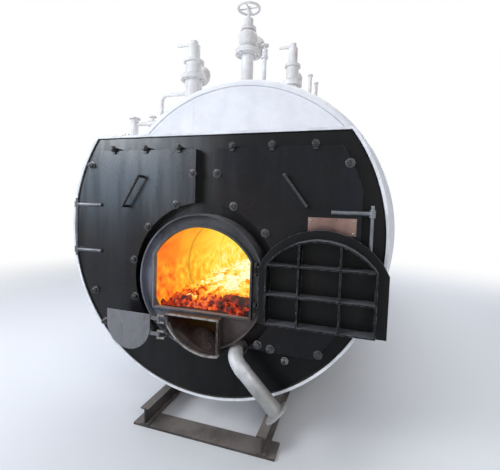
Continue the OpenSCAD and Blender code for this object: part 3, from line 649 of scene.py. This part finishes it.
def clear_glass():
    material, s, shader = new_material("gauge glass")
    place = s.place()
    colour = s.mix(s.noise(place, 40.0), rgb(236, 244, 242), rgb(214, 228, 224))
    haze = s.ramp(s.noise(place, 60.0), 0.4, 0.7, 0.04, 0.16)
    s.fill(shader, Base_Color=colour, Roughness=haze, Transmission_Weight=0.9, IOR=1.45)
    return material


furnace_glow = glow_wall()
ember_coal = ember("glowing embers", 0.0, 30.0)
burning_wood = ember("burning wood", 0.16, 18.0)
loose_ash = ash_grey()
gauge_dial = dial_face()
gauge_glass = clear_glass()

# CAD nodes and their finishes

FINISHES = {
    white_paint: (
        "boiler_shell", "front_end_ring", "front_tube_plate", "rear_tube_plate", "shell_bands",
        "rear_smokebox", "rear_cover", "smokebox_wrapper", "lifting_lugs",
    ),
    rim_paint: ("smokebox_rim", "flue_outlet"),
    fitting_paint: (
        "steam_outlet", "steam_valve", "safety_valve_left", "safety_valve_right", "vent_pipes",
        "manhole", "feed_inlet", "gauge_pipe", "gauge_column",
    ),
    door_paint: ("smokebox_door_left", "smokebox_door_right"),
    plate_paint: ("smokebox_front_plate",),
    hinge_paint: ("door_hinges",),
    hardware_paint: ("door_handles", "door_clamps", "fire_hinge"),
    fire_door_paint: ("fire_door",),
    collar_steel: ("furnace_collar", "furnace_mouth_plate", "fire_door_frame"),
    chute_steel: ("ash_chute",),
    ash_door_steel: ("ash_door",),
    air_pipe_steel: ("air_elbow", "air_leg"),
    base_steel: ("skid_beams", "foot_plates", "saddles", "blowdown"),
    bare_steel: ("level_gauge", "pressure_gauge", "ash_hinge"),
    rusty_steel: ("grate",),
    furnace_glow: ("furnace_tube",),
}


def dress_nodes():
    for material, names in FINISHES.items():
        for name in names:
            data = nodes[name].data
            count = max(1, len(data.materials))
            data.materials.clear()
            for _ in range(count):
                data.materials.append(material)


# Mesh helpers

SHARP_ANGLE = radians(35)


def turn_to(axis):
    return Vector(axis).to_track_quat("Z", "Y").to_matrix().to_4x4()


def mesh_from(bm, name):
    """Closes the bmesh into a mesh whose faces all look outward."""
    bmesh.ops.recalc_face_normals(bm, faces=bm.faces[:])
    data = bpy.data.meshes.new(name)
    bm.to_mesh(data)
    bm.free()
    return data


class Shape:
    """Collects bars, boxes and rings in one mesh."""

    def __init__(self):
        self.bm = bmesh.new()

    def soften(self, edges, width):
        rounding = dict(offset=width, segments=2, profile=0.5, affect="EDGES")
        bmesh.ops.bevel(self.bm, geom=list(edges), **rounding)

    def bar(self, a, b, r, sides=24, r2=None, bevel=0.0):
        """Round or many-sided bar from a to b, with its end edges softened."""
        a, b = Vector(a), Vector(b)
        before = set(self.bm.faces)
        bmesh.ops.create_cone(
            self.bm, cap_ends=True, segments=sides, radius1=r, radius2=r if r2 is None else r2,
            depth=(b - a).length, matrix=Matrix.Translation((a + b) / 2) @ turn_to(b - a),
        )
        if bevel:
            ends = [f for f in self.bm.faces if f not in before and len(f.verts) > 4]
            self.soften({e for f in ends for e in f.edges}, bevel)

    def box(self, lo, hi, bevel):
        lo, hi = Vector(lo), Vector(hi)
        place = Matrix.Translation((lo + hi) / 2) @ Matrix.Diagonal((*(hi - lo), 1.0))
        made = bmesh.ops.create_cube(self.bm, size=1.0, matrix=place)
        self.soften({e for v in made["verts"] for e in v.link_edges}, bevel)

    def ring(self, centre, axis, major, minor, around=64, across=10):
        place = Matrix.Translation(centre) @ turn_to(axis)
        loops = []
        for i in range(around):
            a = 2 * pi * i / around
            loop = []
            for j in range(across):
                b = 2 * pi * j / across
                r = major + minor * cos(b)
                at = Vector((r * cos(a), r * sin(a), minor * sin(b)))
                loop.append(self.bm.verts.new(place @ at))
            loops.append(loop)
        for i in range(around):
            p, q = loops[i], loops[(i + 1) % around]
            for j in range(across):
                k = (j + 1) % across
                self.bm.faces.new((p[j], q[j], q[k], p[k]))

    def piece(self, name, material):
        return finish_piece(name, mesh_from(self.bm, name), material)


def finish_piece(name, data, material, smooth=True):
    obj = put_in_scene(name, data)
    if material:
        data.materials.append(material)
    if smooth:
        data.shade_smooth()
        data.set_sharp_from_angle(angle=SHARP_ANGLE)
    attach(obj, "boiler")
    return obj


# Geometry Nodes: fasteners on points, beads along paths, chunks on a heap

FULL_TURN = 6.28


def growing(name, *sockets):
    """A Geometry Nodes tree that takes a mesh, its own inputs and a material."""
    inputs = [("Geometry", GEOMETRY), *sockets, ("Material", MATERIAL)]
    return group(name, "GeometryNodeTree", inputs, [("Geometry", GEOMETRY)])


def grow_out(g, geometry, i, o):
    """Makes the instances real, paints them with the material and ends the tree."""
    real = g.node("GeometryNodeRealizeInstances", Geometry=geometry)
    paint = g.node("GeometryNodeSetMaterial", Geometry=real.outputs[0], Material=i["Material"])
    g.feed(o, "Geometry", paint.outputs[0])
    return g.tree


def attribute(g, name, kind):
    return g.node("GeometryNodeInputNamedAttribute", {"data_type": kind}, Name=name).outputs[0]


def instances(g, points, thing, turn, size):
    info = g.node("GeometryNodeObjectInfo", Object=thing)
    put = g.node("GeometryNodeInstanceOnPoints", Points=points, Rotation=turn, Scale=size)
    g.feed(put, "Instance", info.outputs["Geometry"])
    return put.outputs[0]


def fastener_tree():
    """Sets one fastener on every point, along the point's axis, turned by its own spin."""
    g, i, o = growing("fasteners on points", ("Fastener", OBJECT), ("Size", FLOAT, 1.0))
    along = attribute(g, "axis", "FLOAT_VECTOR")
    align = g.node("FunctionNodeAlignRotationToVector", {"axis": "Z"}, Vector=along)
    put = instances(g, i["Geometry"], i["Fastener"], align.outputs[0], i["Size"])
    about = g.node("ShaderNodeCombineXYZ", Z=attribute(g, "spin", "FLOAT")).outputs[0]
    turn = g.node("GeometryNodeRotateInstances", Instances=put, Rotation=about, Local_Space=True)
    return grow_out(g, turn.outputs[0], i, o)


def bead_tree():
    """Weld bead: a round section along the path, swelling and shrinking as a hand weld does."""
    g, i, o = growing(
        "weld bead on a path",
        ("Radius", FLOAT, 0.004), ("Pitch", FLOAT, 0.008), ("Seed", FLOAT, 1.0),
    )
    curve = g.node("GeometryNodeMeshToCurve", Mesh=i["Geometry"]).outputs[0]
    steps = {"mode": "LENGTH"}
    even = g.node("GeometryNodeResampleCurve", steps, Curve=curve, Length=i["Pitch"])
    noise = g.node("ShaderNodeTexNoise", {"noise_dimensions": "4D"}, Scale=90.0, W=i["Seed"])
    ends = dict(From_Min=0.3, From_Max=0.7, To_Min=0.7, To_Max=1.25)
    swell = g.node("ShaderNodeMapRange", Value=noise.outputs[0], **ends)
    size = g.mul(swell.outputs[0], i["Radius"])
    section = g.node("GeometryNodeCurvePrimitiveCircle", Resolution=8, Radius=1.0)
    skin = g.node("GeometryNodeCurveToMesh", Curve=even.outputs[0], Scale=size, Fill_Caps=True)
    g.feed(skin, "Profile Curve", section.outputs[0])
    return grow_out(g, skin.outputs[0], i, o)


def chunk_tree():
    """Scatters lumps of several sizes on a surface, from a fixed seed."""
    g, i, o = growing(
        "chunks on a heap", ("Chunk", OBJECT), ("Density", FLOAT, 500.0),
        ("Smallest", FLOAT, 0.6), ("Largest", FLOAT, 1.6), ("Seed", INT, 3),
    )
    spread = g.node("GeometryNodeDistributePointsOnFaces", Mesh=i["Geometry"], Seed=i["Seed"])
    g.feed(spread, "Density", i["Density"])
    size = g.node("FunctionNodeRandomValue", {"data_type": "FLOAT"}, Seed=i["Seed"])
    g.feed(size, 2, i["Smallest"])
    g.feed(size, 3, i["Largest"])
    turn = g.node("FunctionNodeRandomValue", {"data_type": "FLOAT_VECTOR"}, Seed=i["Seed"])
    g.feed(turn, 1, (FULL_TURN,) * 3)
    put = instances(g, spread.outputs["Points"], i["Chunk"], turn.outputs[0], size.outputs[1])
    return grow_out(g, put, i, o)


FASTENERS = fastener_tree()
BEADS = bead_tree()
CHUNKS = chunk_tree()


def grown(name, data, tree, material, slot, smooth=True, **inputs):
    """Runs a Geometry Nodes tree on a mesh and keeps the result as a plain piece."""
    source = put_in_scene(name + "_source", data)
    modifier = source.modifiers.new("grow", "NODES")
    modifier.node_group = tree
    sockets = {k.name: k.identifier for k in tree.interface.items_tree if k.in_out == "INPUT"}
    for key, value in {"Material": material, **inputs}.items():
        modifier[sockets[key]] = value
    bpy.context.view_layer.update()
    depsgraph = bpy.context.evaluated_depsgraph_get()
    made = bpy.data.meshes.new_from_object(source.evaluated_get(depsgraph))
    made.name = name
    bpy.data.objects.remove(source)
    for extra in [a.name for a in made.attributes if a.name in ("axis", "spin")]:
        made.attributes.remove(made.attributes[extra])
    return finish_piece(name, made, None, smooth)


# Fasteners

templates = []


def template(build):
    """A mesh object that only Geometry Nodes use; it is removed before the frame is finished."""
    shape = Shape()
    build(shape)
    obj = put_in_scene("template", mesh_from(shape.bm, "template"))
    templates.append(obj)
    return obj


def upright(shape, a, b, *rest, **more):
    shape.bar((0, 0, a), (0, 0, b), *rest, **more)


def hex_head(shape, base, height, corner):
    """Hexagon with its outer corners turned off."""
    shoulder = base + 0.78 * height
    upright(shape, base, shoulder, corner, 6)
    upright(shape, shoulder, base + height, corner, 6, r2=0.84 * corner)


def threaded(shape, a, b, r, pitch):
    """Stud end with ring-shaped thread crests."""
    root, crest = 0.93 * r, 1.06 * r
    for k in range(max(1, int((b - a) / pitch))):
        z = a + k * pitch
        upright(shape, z, z + 0.5 * pitch, root, 16, r2=crest)
        upright(shape, z + 0.5 * pitch, z + pitch, crest, 16, r2=root)


NUT_CORNER, STUD_R, THREAD_PITCH = 0.0205, 0.0112, 0.003


def clamp_nut(shape):
    upright(shape, -0.001, 0.004, 0.027, 28, bevel=0.001)
    hex_head(shape, 0.004, 0.021, NUT_CORNER)
    threaded(shape, 0.0245, 0.0365, STUD_R, THREAD_PITCH)


def dog_nut(shape):
    upright(shape, -0.001, 0.0035, 0.0225, 28, bevel=0.001)
    hex_head(shape, 0.0035, 0.013, NUT_CORNER)
    threaded(shape, 0.0165, 0.0245, STUD_R, THREAD_PITCH)


def flange_bolt(shape):
    """Washer and head with a corner radius of 0.01 m; scaled where it is set."""
    upright(shape, -0.0006, 0.0014, 0.0118, 20)
    hex_head(shape, 0.0014, 0.0075, 0.0100)


def pan_screw(shape):
    upright(shape, -0.0004, 0.0016, 0.0070, 10, r2=0.0066)
    upright(shape, 0.0016, 0.0034, 0.0066, 10, r2=0.0036)


def fasten(name, rows, fastener, size, material, slot):
    """Sets a fastener on each row of (place, axis, spin)."""
    data = bpy.data.meshes.new("points")
    data.from_pydata([tuple(place) for place, _, _ in rows], [], [])
    axes = data.attributes.new("axis", "FLOAT_VECTOR", "POINT").name
    spins = data.attributes.new("spin", "FLOAT", "POINT").name
    for k, (_, axis, spin) in enumerate(rows):
        data.attributes[axes].data[k].vector = axis
        data.attributes[spins].data[k].value = spin
    grown(name, data, FASTENERS, material, slot, Fastener=fastener, Size=size)


dice = random.Random(7)


def spun():
    return dice.uniform(0, pi / 3)


def circle_rows(centre, axis, r, n, start=0.0):
    turn = turn_to(axis)
    rows = []
    for k in range(n):
        a = radians(start) + 2 * pi * k / n
        out = turn @ Vector((r * cos(a), r * sin(a), 0))
        rows.append((Vector(centre) + out, axis, spun()))
    return rows


# Places of the smokebox doors' clamps, from the doors' own sizes.
CLAMP_TOP = (STRIP_HALF + 0.122, 0.436 * DOOR_R, 0.69 * DOOR_R)
CLAMP_TOP_OUT = 0.012
CLAMP_FACE = (
    (0.881 * DOOR_R, 0.446 * DOOR_R),
    (0.842 * DOOR_R, -0.446 * DOOR_R),
    (STRIP_HALF + 0.020, DOOR_TOP - 0.157),
    (0.465 * DOOR_R, 0.020 - DOOR_BOTTOM),
    (0.752 * DOOR_R, 0.032 - DOOR_BOTTOM),
)
CLAMP_RING = (22.5, 51, 79, 107, 133)
CLAMP_RING_R = DOOR_CUT_R + 0.022
PLATE_STUD = (0.545 * DOOR_R, AXIS_Z - 0.070 - DOOR_BOTTOM)


def front_fasteners():
    face, dogs = [], []
    top = AXIS_Z + DOOR_TOP + CLAMP_TOP_OUT
    for s in (-1, 1):
        for x in CLAMP_TOP:
            dogs.append(((s * x, DOOR_FACE - CLAMP_TOP_OUT, top), FRONT, spun()))
        for x, z in CLAMP_FACE:
            face.append(((s * x, DOOR_FACE, AXIS_Z + z), FRONT, spun()))
        for a in CLAMP_RING:
            t = radians(a)
            x, z = s * CLAMP_RING_R * sin(t), FURNACE_Z + CLAMP_RING_R * cos(t)
            face.append(((x, DOOR_FACE, z), FRONT, spun()))
    nut, low = template(clamp_nut), template(dog_nut)
    fasten("door_clamp_nuts", face, nut, 1.0, nut_steel, "black_paint")
    fasten("door_dog_nuts", dogs, low, 1.0, hardware_paint, "black_paint")
    x, z = PLATE_STUD
    studs = [((s * x, 0.0, z), FRONT, spun()) for s in (-1, 1)]
    fasten("plate_stud_nuts", studs, low, 1.08, bare_steel, "grey_steel")


FLANGE_HALF = 0.020
SAFETY_FLANGE_TOP = 0.018
SAFETY_BOLTS_SHARE = 1.24
SADDLE_BOLT_STEPS = (-0.115, -0.040, 0.040, 0.115)
BAND_HALF = 0.032
BAND_SCREWS = 64


def fitting_fasteners():
    bolt = template(flange_bolt)
    x, y = STEAM
    rows = circle_rows((x, y, STEAM_FLANGE_Z + FLANGE_HALF), UP, STEAM_BOLTS_R, 8, 22.5)
    rows += circle_rows((x, y, STEAM_FLANGE_Z - FLANGE_HALF), DOWN, STEAM_BOLTS_R, 8, 22.5)
    for x, y, r, z in (SAFETY_LEFT, SAFETY_RIGHT):
        count = 6 if r < 0.07 else 8
        rows += circle_rows((x, y, z + SAFETY_FLANGE_TOP), UP, SAFETY_BOLTS_SHARE * r, count, 15)
        rows += circle_rows((x, y, z - FLANGE_HALF), DOWN, SAFETY_BOLTS_SHARE * r, count, 15)
    fasten("flange_bolts", rows, bolt, 1.25, fitting_paint, "white_paint")
    rows = circle_rows((0, bay(MANHOLE_BAY), MANHOLE_TOP), UP, MANHOLE_NUTS_R, 12)
    fasten("manhole_nuts", rows, bolt, 1.9, fitting_paint, "white_paint")
    rows = circle_rows((0, REAR_PLUG_Y, FURNACE_Z), BACK, REAR_PLUG_NUTS_R, 8)
    fasten("rear_plug_nuts", rows, bolt, 1.8, white_paint, "white_paint")
    rows = circle_rows((0, REAR_COVER_Y, AXIS_Z), BACK, REAR_COVER_BOLTS_R, 48, 3)
    fasten("rear_cover_bolts", rows, bolt, 1.4, white_paint, "white_paint")
    rows = []
    for k in SADDLE_BAYS:
        for x in (-SADDLE_BOLT_X, SADDLE_BOLT_X):
            for step in SADDLE_BOLT_STEPS:
                rows.append(((x, bay(k) + step, SADDLE_FOOT_TOP), UP, spun()))
    fasten("saddle_bolts", rows, bolt, 1.5, base_steel, "grey_steel")


def band_screws():
    """Cladding screws in two rows beside every band round the drum."""
    screw = template(pan_screw)
    rows = []
    for k in range(BANDS):
        for side in (-BAND_HALF, BAND_HALF):
            for n in range(BAND_SCREWS):
                a = 2 * pi * (n + 0.25) / BAND_SCREWS
                out = Vector((sin(a), 0, cos(a)))
                place = Vector((0, bay(k) + side, AXIS_Z)) + SHELL_R * out
                rows.append((place, out, spun()))
    fasten("cladding_screws", rows, screw, 1.0, fitting_paint, "white_paint")


# Welds


def arc(z, r, a0, a1, n, y):
    """Points on a circle that faces the front; angles in degrees clockwise from straight up."""
    angles = [radians(a0 + (a1 - a0) * k / n) for k in range(n + 1)]
    return [(r * sin(a), y, z + r * cos(a)) for a in angles]


def weld(name, corners, closed, material, slot, radius, pitch, seed):
    edges = [(k, k + 1) for k in range(len(corners) - 1)]
    if closed:
        edges.append((len(corners) - 1, 0))
    data = bpy.data.meshes.new("path")
    data.from_pydata(corners, edges, [])
    grown(name, data, BEADS, material, slot, Radius=radius, Pitch=pitch, Seed=seed)


def welds():
    half = degrees(acos((FLAT_TOP - RIM_DROP) / PLATE_R))
    black, white = (plate_paint, "black_paint"), (white_paint, "white_paint")
    rim = arc(AXIS_Z, PLATE_R - 0.002, half, 360 - half, 220, 0.0)
    weld("rim_weld", rim, True, *black, 0.006, 0.009, 2.0)
    seam = arc(AXIS_Z, SEAM_R, 0, 358.5, 240, SHELL_FRONT - 0.001)
    weld("end_face_weld", seam, True, *white, 0.0045, 0.010, 3.0)
    joint = arc(AXIS_Z, SMOKEBOX_R + 0.001, half + 1, 359 - half, 220, SHELL_FRONT - 0.002)
    weld("smokebox_weld", joint, False, *white, 0.007, 0.010, 4.0)
    collar = arc(FURNACE_Z, COLLAR_R, -128, 143, 160, 0.0)
    weld("collar_weld", collar, False, *black, 0.006, 0.008, 5.0)


# Name plate on the right-hand door, left bare

NAME_PLATE = (0.670, 0.940, 1.440, 1.540)
NAME_PLATE_THICK = 0.0025
BORDER_IN, BORDER_WIDE = 0.006, 0.002
RIVET_IN = 0.016


def name_plate():
    x0, x1, z0, z1 = NAME_PLATE
    face = DOOR_FACE - NAME_PLATE_THICK
    shape = Shape()
    shape.box((x0, face, z0), (x1, DOOR_FACE + 0.001, z1), 0.0009)
    left, right, low, high = x0 + BORDER_IN, x1 - BORDER_IN, z0 + BORDER_IN, z1 - BORDER_IN
    for a, b in (
        ((left, low), (right, low + BORDER_WIDE)),
        ((left, high - BORDER_WIDE), (right, high)),
        ((left, low), (left + BORDER_WIDE, high)),
        ((right - BORDER_WIDE, low), (right, high)),
    ):
        shape.box((a[0], face - 0.0009, a[1]), (b[0], face + 0.0005, b[1]), 0.0004)
    shape.piece("name_plate", plate_copper)
    sides, levels = (x0 + RIVET_IN, x1 - RIVET_IN), (z0 + RIVET_IN, z1 - RIVET_IN)
    rivets = [((x, face, z), FRONT, 0.0) for x in sides for z in levels]
    fasten("name_plate_rivets", rivets, template(pan_screw), 0.9, bare_steel, "bare_steel")


# Fire, embers and ash

FLOOR_GAP = 0.002
THINNEST = 0.006
RIPPLE = 0.012


def heap(name, material, span_x, span_y, base, height, n, seed):
    """Uneven heap: a closed skin that lies on the floor below it."""
    rng = random.Random(seed)
    waves = [
        (rng.uniform(3, 17), rng.uniform(3, 17), rng.uniform(0, 6.3), rng.uniform(0.2, 1.0))
        for _ in range(9)
    ]
    (x0, x1), (y0, y1) = span_x, span_y
    bm = bmesh.new()
    face = bm.faces.new
    tops, lows = [], []
    m = max(4, int(n * (y1 - y0) / (x1 - x0)))
    for j in range(m + 1):
        row, under = [], []
        for i in range(n + 1):
            x = x0 + (x1 - x0) * i / n
            y = y0 + (y1 - y0) * j / m
            low = base(x)
            wave = sum(w[3] * sin(w[0] * x * 2 + w[1] * y * 2 + w[2]) for w in waves)
            z = max(low + height(x, y) + RIPPLE * wave, low + THINNEST)
            row.append(bm.verts.new((x, y, z)))
            under.append(bm.verts.new((x, y, low)))
        tops.append(row)
        lows.append(under)
    for j in range(m):
        for i in range(n):
            face((tops[j][i], tops[j][i + 1], tops[j + 1][i + 1], tops[j + 1][i]))
            face((lows[j][i], lows[j + 1][i], lows[j + 1][i + 1], lows[j][i + 1]))
    for j in range(m):
        face((tops[j][0], tops[j + 1][0], lows[j + 1][0], lows[j][0]))
        face((tops[j][n], lows[j][n], lows[j + 1][n], tops[j + 1][n]))
    for i in range(n):
        face((tops[0][i], lows[0][i], lows[0][i + 1], tops[0][i + 1]))
        face((tops[m][i], tops[m][i + 1], lows[m][i + 1], lows[m][i]))
    return finish_piece(name, mesh_from(bm, name), material)


def lump(shape):
    rng = random.Random(11)
    bmesh.ops.create_icosphere(shape.bm, subdivisions=1, radius=0.018)
    for v in shape.bm.verts:
        v.co *= rng.uniform(0.65, 1.25)
        v.co.x *= 1.5


LOG_SIDES, LOG_STEPS = 11, 9


def log(k, a, b, r):
    """Rough split log: an uneven prism with broken ends."""
    rng = random.Random(k)
    a, b = Vector(a), Vector(b)
    turn = turn_to(b - a)
    bm = bmesh.new()
    rings = []
    section = [rng.uniform(0.7, 1.12) for _ in range(LOG_SIDES)]
    for j in range(LOG_STEPS + 1):
        ring = []
        for side, reach in enumerate(section):
            angle = 2 * pi * side / LOG_SIDES
            out = r * reach * rng.uniform(0.92, 1.06) * (0.82 if j in (0, LOG_STEPS) else 1.0)
            offset = turn @ Vector((out * cos(angle), out * sin(angle), 0))
            ring.append(bm.verts.new(a.lerp(b, j / LOG_STEPS) + offset))
        rings.append(ring)
    for p, q in zip(rings, rings[1:]):
        for side in range(LOG_SIDES):
            after = (side + 1) % LOG_SIDES
            bm.faces.new((p[side], p[after], q[after], q[side]))
    bm.faces.new(rings[0][::-1])
    bm.faces.new(rings[-1])
    name = f"burning_log_{k}"
    return finish_piece(name, mesh_from(bm, name), burning_wood, smooth=False)


def fire_bed():
    def floor(x):
        return GRATE_Z - FLOOR_GAP

    def height(x, y):
        side = max(0.0, 1 - (x / 0.38) ** 4)
        return side * (0.050 + 0.075 * min(1.0, max(0.0, (y - 0.25) / 0.9)))

    bed = heap("ember_bed", ember_coal, (-0.36, 0.36), (0.02, 2.3), floor, height, 40, 5)
    chunk = template(lump)
    grown(
        "ember_chunks", bed.data.copy(), CHUNKS, ember_coal, "rusty_steel", smooth=False,
        Chunk=chunk, Density=430.0, Smallest=0.5, Largest=1.7, Seed=4,
    )
    log(1, (0.09, 0.115, 0.945), (0.35, 0.030, 0.950), 0.036)
    log(2, (-0.27, 0.66, 0.96), (0.02, 0.98, 0.99), 0.036)
    log(3, (0.02, 0.90, 0.98), (0.20, 1.40, 1.01), 0.040)
    log(4, (-0.20, 0.30, 0.935), (-0.06, 0.62, 0.96), 0.026)


def chute_ash():
    def floor(x):
        drop = sqrt(CHUTE_FLOOR_R**2 - (x - CHUTE_MID[0]) ** 2)
        return CHUTE_MID[1] - drop + FLOOR_GAP

    def height(x, y):
        side = max(0.0, 1 - ((x - 0.03) / 0.17) ** 2)
        return side * (0.030 + 0.055 * min(1.0, max(0.0, (y + 0.150) / 0.12)))

    heap("ash_heap", loose_ash, (-0.150, 0.146), (-0.155, 0.005), floor, height, 26, 9)


# Gauges

DIAL_R = 0.049
NEEDLE_ANGLE = radians(-70)
NEEDLE_TIP, NEEDLE_TAIL = 0.034, -0.011
GLASS_HALF = 0.009
GLASS_FROM, GLASS_TO = 0.045, 0.375
GAUGE_BOLT_X, GAUGE_BOLT_LOW, GAUGE_BOLT_STEP = 0.0148, 0.04, 0.0485


def gauges():
    x, front, z = DIAL

    def at(out, along=0.0):
        """Point this far out along the needle and this far back from the dial."""
        return (x + out * sin(NEEDLE_ANGLE), front + along, z + out * cos(NEEDLE_ANGLE))

    shape = Shape()
    shape.bar(at(0, -0.0012), at(0, 0.001), DIAL_R, 64)
    shape.piece("pressure_dial", gauge_dial)
    shape = Shape()
    shape.ring(at(0, -0.003), FRONT, 0.0515, 0.0042)
    shape.ring(at(0, 0.047), FRONT, 0.0530, 0.0028, across=8)
    shape.bar((x + 0.056, front + 0.025, z), (x + 0.074, front + 0.025, z), 0.014, 6)
    shape.piece("pressure_gauge_bezel", bare_steel)
    shape = Shape()
    shape.bar(at(NEEDLE_TAIL, -0.003), at(NEEDLE_TIP, -0.003), 0.0018, 8, r2=0.0007)
    shape.bar(at(0, -0.005), at(0), 0.005, 20)
    shape.piece("pressure_needle", hardware_paint)
    shape = Shape()
    low, high = GAUGE_LOW + GLASS_FROM, GAUGE_LOW + GLASS_TO
    left, right = GAUGE_X - GLASS_HALF, GAUGE_X + GLASS_HALF
    shape.box((left, GAUGE_FRONT - 0.0012, low), (right, GAUGE_FRONT + 0.001, high), 0.0006)
    shape.piece("level_glass", gauge_glass)
    bolt = template(flange_bolt)
    rows = []
    for side in (-GAUGE_BOLT_X, GAUGE_BOLT_X):
        for k in range(8):
            height = GAUGE_LOW + GAUGE_BOLT_LOW + GAUGE_BOLT_STEP * k
            rows.append(((GAUGE_X + side, GAUGE_FRONT, height), FRONT, spun()))
    fasten("level_gauge_bolts", rows, bolt, 0.42, bare_steel, "bare_steel")


# Stage, lamps and background

FLOOR_HALF, FLOOR_COLOUR = 40, (0.80, 0.80, 0.80, 1)
FADE_CENTRE, FADE_FROM, FADE_TO = (0.0, 2.4, 0.0), 3.6, 8.0
SKY_STRENGTH = 0.78

# Name, place, what it points at, size, watts, colour.
LAMPS = (
    ("key", (-5.2, -4.6, 4.6), (0, 0.3, 1.3), (3.2, 3.2), 345, (1, 1, 1)),
    ("fill", (4.4, -3.6, 3.6), (0, 0.5, 1.4), (2.6, 2.6), 100, (1, 1, 1)),
    ("top", (0, 2.2, 6.5), (0, 2.2, 1.0), (5.0, 5.0), 150, (1, 1, 1)),
    ("left panel", (-4.0, -4.3, 2.7), (-0.6, 0.0, 1.7), (2.4, 2.6), 46, (0.40, 0.68, 1.0)),
    ("low strip", (-0.55, -4.3, 0.55), (0.45, 0.0, 1.1), (0.16, 1.0), 1.6, (0.70, 0.85, 1.0)),
    ("back", (3.5, 9.0, 4.0), (0, 4.5, 1.2), (3.5, 3.5), 120, (1, 1, 1)),
)


def background_rays(s):
    """1 for the rays that should see the white background: camera, mirror and glass rays."""
    rays = s.node("ShaderNodeLightPath").outputs
    mirrored = s.max(rays["Is Glossy Ray"], rays["Is Transmission Ray"])
    return s.max(rays["Is Camera Ray"], mirrored)


def blend(s, factor, first, second, end):
    """Mixes two shaders and feeds the surface of the tree's output."""
    made = s.node("ShaderNodeMixShader")
    s.row(made, (factor, first, second))
    s.feed(end, "Surface", made.outputs[0])


def stage():
    data = bpy.data.meshes.new("floor")
    corners = [(-1, -1), (1, -1), (1, 1), (-1, 1)]
    data.from_pydata([(FLOOR_HALF * x, FLOOR_HALF * y, 0) for x, y in corners], [], [(0, 1, 2, 3)])
    floor = put_in_scene("floor", data)
    material, s, shader = new_material("plain pale floor")
    s.fill(shader, Base_Color=FLOOR_COLOUR, Roughness=0.9, Specular_IOR_Level=0.1)
    far = s.ramp(s.vector("DISTANCE", s.place(), FADE_CENTRE), FADE_FROM, FADE_TO)
    white = s.node("ShaderNodeEmission")
    end = s.tree.nodes["Material Output"]
    blend(s, s.mul(far, background_rays(s)), shader.outputs[0], white.outputs[0], end)
    data.materials.append(material)


def add_lamps():
    for name, place, target, size, watts, colour in LAMPS:
        data = bpy.data.lights.new(name, "AREA")
        data.shape = "RECTANGLE"
        data.size, data.size_y = size
        data.energy = watts
        data.color = colour
        place, target = Vector(place), Vector(target)
        pose = (target - place).to_track_quat("-Z", "Y").to_matrix().to_4x4()
        pose.translation = place
        put_in_scene(name, data).matrix_world = pose


def add_background():
    """Plain white to look at, with a soft sky, brighter on the left, that lights the part."""
    world = bpy.data.worlds.new("studio")
    bpy.context.scene.world = world
    world.use_nodes = True
    world.node_tree.nodes.clear()
    s = Graph(world.node_tree)
    seen = s.node("ShaderNodeBackground", Color=(1, 1, 1, 1), Strength=1.0)
    x, y, z = s.axes(s.node("ShaderNodeTexCoord").outputs["Generated"])
    side = s.madd(x, -0.75, s.madd(y, 0.40, s.mul(z, 0.35)))
    colour = s.mix(s.ramp(side, -0.30, 0.45), rgb(62, 64, 72), rgb(226, 236, 255))
    sky = s.node("ShaderNodeBackground", Color=colour, Strength=SKY_STRENGTH)
    end = s.node("ShaderNodeOutputWorld")
    blend(s, background_rays(s), sky.outputs[0], seen.outputs[0], end)
    bpy.context.scene.view_settings.view_transform = "Standard"


add_camera()
dress_nodes()
front_fasteners()
fitting_fasteners()
band_screws()
welds()
name_plate()
fire_bed()
chute_ash()
gauges()
stage()
add_lamps()
add_background()

for obj in templates:
    bpy.data.objects.remove(obj)
